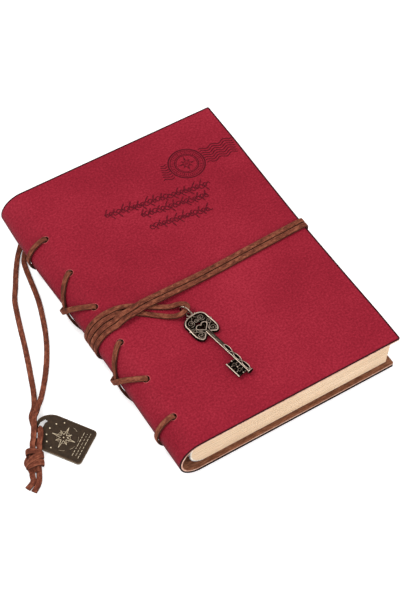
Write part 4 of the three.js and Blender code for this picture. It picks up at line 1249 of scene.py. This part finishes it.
def bezier(p0, p1, p2, p3, steps=10):
    points = []
    for i in range(1, steps + 1):
        t = i / steps
        k = ((1 - t) ** 3, 3 * (1 - t) ** 2 * t, 3 * (1 - t) * t * t, t ** 3)
        points.append(tuple(sum(c * p[j] for c, p in zip(k, (p0, p1, p2, p3))) for j in range(2)))
    return points


def tag_outline(inset):
    half, far, crown = TAG_HALF - inset, TAG_LENGTH - inset, inset
    r = max(TAG_CORNER - inset, 0.4)
    shoulder = TAG_SHOULDER + inset * 0.4
    points = [(shoulder, -half)]
    for sign, first in ((-1, -90), (1, 0)):
        points += [polar(far - r, sign * (half - r), r, radians(first + 15 * i)) for i in range(7)]
    points.append((shoulder, half))
    crown_end, crown_bend = (crown, half * 0.3), (crown, half * 0.72)
    curve = bezier((shoulder, half), (shoulder - 3.4, half), crown_bend, crown_end)
    return points + curve + [(x, -y) for x, y in curve[::-1]]


def tag_slot():
    half, near, wide = 12.7 / 2, 1.6, 2.8
    far = near + wide
    side = [(near, half - 2.6), (near + 1.6, half), (far + 1.0, half - 0.6), (far, half - 2.6)]
    return [(near, -half + 2.6), *side, *[(x, -y) for x, y in side[:0:-1]]]


def cast_tag():
    origin = Vector((TAG_CROWN.x, TAG_CROWN.y, TAG_BAR_LIFT + 0.02))
    heading, tilt = atan2(TAG_AXIS.y, TAG_AXIS.x), asin(TAG_BAR_LIFT / TAG_LENGTH)
    tag = Casting(tag_bronze, origin, heading, tilt)
    tag.slab(tag_outline(0.12), [tag_slot()], 0.0, TAG_FLOOR, 0.3, 0.9)
    rim = [(a, o, TAG_FLOOR - 0.02) for a, o in tag_outline(0.45)]
    tag.wire(rim, 0.42, 0.75, closed=True, low=0.1, high=0.6)
    tag.wire([(a, o, TAG_FLOOR) for a, o in tag_slot()], 0.26, 0.9, closed=True, low=0.1, high=0.5)
    top, centre = TAG_FLOOR + 0.06, 16.6
    for i in range(8):
        angle = pi * i / 4
        tip = (*polar(centre, 0, 6.4 if i % 2 == 0 else 4.4, angle), top)
        for turn in (-0.39, 0.39):
            tag.wire([tip, (*polar(centre, 0, 1.7, angle + turn), top)], 0.2, 0.9, low=0.2, sides=8)
        tag.wire([tip, (*polar(centre, 0, 0.4, angle), top)], 0.12, low=0.2, high=0.7, sides=6)
        for radius, first, last in ((3.5, 0.16, 0.62), (7.6, 0.1, 0.5)):
            turns = [angle + first + (last - first) * k / 6 for k in range(7)]
            arc = [(*polar(centre, 0, radius, turn), top) for turn in turns]
            if radius < 7 or i in (0, 1, 6, 7):
                tag.wire(arc, 0.17, low=0.2, high=0.85, sides=8)
    tag.bead(centre, 0, top, 0.6)
    for i in range(6):
        angle = pi * (0.62 + 0.76 * i / 5)
        tag.bead(centre + 9.0 * cos(angle), 8.6 * sin(angle), TAG_FLOOR, 0.62, 0.7)
    rng = random.Random(9)
    for a, half, thick in ((25.0, 7.6, 0.24), (26.7, 7.0, 0.16), (28.3, 7.8, 0.22)):
        o = -half
        while o < half:
            dash, z = rng.uniform(0.9, 2.4), TAG_FLOOR + 0.05
            tag.wire([(a, o, z), (a, min(o + dash, half), z)], thick, low=0.2, sides=8)
            o += dash + rng.uniform(0.5, 0.9)
    tag.finish("tag_cast", "tag_charm", "tag")


cast_tag()


# Pressed pattern on the front cover: fine grooves with raised lips.

class Pressing:
    def __init__(self):
        self.verts, self.faces, self.slots = [], [], []

    def groove(self, points, width=0.42, closed=False):
        count = len(points)
        half, lip = width / 2, width / 2 + 0.14
        section = [(-lip, 0.04), (-half, 0.1), (0, 0.055), (half, 0.1), (lip, 0.04),
                   (lip, -0.12), (-lip, -0.12)]
        self.faces += tube_faces(count, len(section), closed, len(self.verts))
        for _ in range(count if closed else count - 1):
            self.slots += [0, 1, 1, 0, 0, 0, 0]
        self.slots += [] if closed else [0, 0]
        for i, (x, y) in enumerate(points):
            (bx, by), (ax, ay) = neighbours(points, i, closed)
            length = hypot(ax - bx, ay - by) or 1
            nx, ny = -(ay - by) / length, (ax - bx) / length
            taper = 1.0 if closed else min(1.0, 0.45 + 0.3 * min(i, count - 1 - i))
            self.verts += [(x + nx * o * taper, y + ny * o * taper, FRONT_Z + h) for o, h in section]

    def finish(self, name):
        uvs = [(v[0] + 90, v[1]) for v in self.verts]
        obj = outward(make_object(name, self.verts, self.faces, [crimson, emboss_red], self.slots, uvs))
        add_marks(obj, "edge", "POINT", [0.0] * len(self.verts))
        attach(sharpen(obj, 60), "front_cover")


LINE_WAY = Vector((0.987, -0.162)).normalized()
WAVE_WAY = Vector((0.999, -0.045)).normalized()


def turned(x0, y0, a, b, way=LINE_WAY):
    """A place a along the lines of the pattern and b above them, seen from the start x0, y0."""
    return x0 + way.x * a - way.y * b, y0 + way.y * a + way.x * b


def press_stamp():
    stamp = Pressing()
    x0, y0 = 35.25, 63.8
    for radius, width in ((10.3, 0.8), (9.2, 0.45), (6.7, 0.55), (5.9, 0.4)):
        stamp.groove(circle(x0, y0, radius, 72), width, True)
    for i in range(44):
        inner, outer, width = (7.3, 8.6, 0.5) if i % 4 else (7.2, 8.8, 0.7)
        radii = (inner, (inner + outer) / 2, outer)
        stamp.groove([polar(x0, y0, r, 2 * pi * i / 44) for r in radii], width)
    for i in range(8):
        angle = radians(-9.3) + pi * i / 4
        reach = 5.4 if i % 2 == 0 else 3.6
        tip = polar(x0, y0, reach, angle)
        for turn in (-0.42, 0.42):
            waist = polar(x0, y0, 1.5, angle + turn)
            middle = ((tip[0] + waist[0]) / 2, (tip[1] + waist[1]) / 2)
            stamp.groove([tip, middle, waist], 0.45)
        stamp.groove([tip, polar(x0, y0, reach * 0.5, angle), (x0, y0)], 0.35)
    for first, last in ((-17.0, -10.4), (10.4, 31.4)):
        for k in range(7):
            begin, end = first + 0.5 * k * (first < 0), last - 0.3 * (6 - k) * (first > 0)
            steps = max(8, int((end - begin) * 3))
            line = []
            for i in range(steps + 1):
                a = begin + (end - begin) * i / steps
                swing = 0.8 * sin(2 * pi * (a - first) / 7.4 + 0.6)
                line.append(turned(x0, y0, a, 1.75 * (k - 3) + swing, WAVE_WAY))
            stamp.groove(line, 0.62)
    stamp.finish("pressed_stamp")


def press_tendrils():
    """Three rows of running scrolls with leaves."""
    rows = Pressing()
    rng = random.Random(21)
    for x0, y0, length in ((-22.45, 53.7, 62.0), (-5.35, 43.8, 39.5), (-5.35, 34.3, 36.5)):
        wave, swing = 4.6, 1.2
        steps = int(length * 3)
        stem = [length * i / steps for i in range(steps + 1)]
        rows.groove([turned(x0, y0, a, 1.5 + swing * sin(2 * pi * a / wave)) for a in stem], 0.66)
        for k in range(int(length / wave * 2)):
            side = 1 if k % 2 == 0 else -1
            a0 = wave * (0.25 + k * 0.5)
            if a0 > length - 1.5:
                continue
            size = rng.uniform(0.75, 1.45)
            curl = []
            for i in range(15):
                t = i / 14
                r = 1.3 * size * (1 - 0.68 * t)
                angle = -side * (0.4 + 2 * pi * 1.05 * t)
                curl.append(turned(x0, y0, *polar(a0 + 0.3, 1.5 - side * 0.25, r, angle)))
            rows.groove(curl, 0.62)
            if rng.random() < 0.85:
                reach = rng.uniform(1.4, 3.2)
                lean = rng.uniform(0.3, 0.9)
                for bend in (-0.28, 0.28):
                    leaf = []
                    for i in range(7):
                        t = i / 6
                        across = bend * sin(pi * t)
                        leaf.append(turned(x0, y0, a0 + lean * t * reach + across * 0.9,
                                           1.5 + side * (swing + 0.15 + reach * t) + across * side * 0.4))
                    rows.groove(leaf, 0.56)
    rows.finish("pressed_tendrils")


press_stamp()
press_tendrils()


# Camera, floor and light
FLOOR_REACH = 3000.0
FLOOR_GREY = 0.88
FLOOR_GLOW = 0.48
SKY_LIGHT = 0.64
SENSOR = 36.0


def set_camera():
    azimuth, elevation, roll = radians(-31.96), radians(54.22), radians(0.37)
    distance, focal_px, height_px = 0.911, 1682.2, 601
    target = Vector((1.85, 0, 1.6)) * MM
    away = Vector((sin(azimuth) * cos(elevation), -cos(azimuth) * cos(elevation), sin(elevation)))
    forward = -away
    right = forward.cross(UP).normalized()
    up = right.cross(forward)
    turned_right = right * cos(roll) + up * sin(roll)
    turned_up = -right * sin(roll) + up * cos(roll)
    data = bpy.data.cameras.new("camera")
    camera = add_object("camera", data)
    camera.matrix_world = Matrix.Translation(target + away * distance) @ Matrix(
        (turned_right, turned_up, away)).transposed().to_4x4()
    data.sensor_width = SENSOR
    data.lens = focal_px / height_px * SENSOR
    data.shift_x = 4.89 / height_px
    data.shift_y = -6.90 / height_px
    data.clip_start, data.clip_end = 0.01, 20
    bpy.context.scene.camera = camera


def add_area(name, place, target, size, energy):
    data = bpy.data.lights.new(name, "AREA")
    data.shape = "DISK"
    data.size = size
    data.energy = energy
    light = add_object(name, data)
    light.location = place
    light.rotation_euler = (Vector(target) - Vector(place)).to_track_quat("-Z", "Y").to_euler()


def seen_directly(nt):
    """1 for what the camera sees, also in metal or through the clear sheet, and 0 for other light."""
    path = nt.nodes.new("ShaderNodeLightPath")
    seen = math_node(nt, "MAXIMUM", path.outputs["Is Camera Ray"], path.outputs["Is Glossy Ray"])
    return math_node(nt, "MAXIMUM", seen, path.outputs["Is Transmission Ray"])


def set_stage():
    mat, nt, bsdf = new_material("pale_floor")
    feed(nt, bsdf, {
        "Base Color": (FLOOR_GREY, FLOOR_GREY, FLOOR_GREY, 1),
        "Roughness": 0.8,
        "Emission Color": (1, 1, 1, 1),
        "Emission Strength": math_node(nt, "MULTIPLY", seen_directly(nt), FLOOR_GLOW)})
    corners = [(-FLOOR_REACH, -FLOOR_REACH, 0), (FLOOR_REACH, -FLOOR_REACH, 0),
               (FLOOR_REACH, FLOOR_REACH, 0), (-FLOOR_REACH, FLOOR_REACH, 0)]
    make_object("floor", corners, [(0, 1, 2, 3)], [mat], smooth=False)
    world = bpy.data.worlds.new("studio")
    bpy.context.scene.world = world
    world.use_nodes = True
    sky = world.node_tree
    strength = scaled(sky, seen_directly(sky), 1 - SKY_LIGHT, SKY_LIGHT)
    feed(sky, sky.nodes["Background"], {"Color": (1, 1, 1, 1), "Strength": strength})
    add_area("key_light", (-0.5, 0.42, 0.95), (0, 0, 0), 0.4, 5.2)
    add_area("fill_light", (0.1, -0.85, 0.5), (0, 0, 0.01), 0.8, 5.0)
    bpy.context.scene.view_settings.view_transform = "Standard"


set_camera()
set_stage()
bpy.context.view_layer.update()
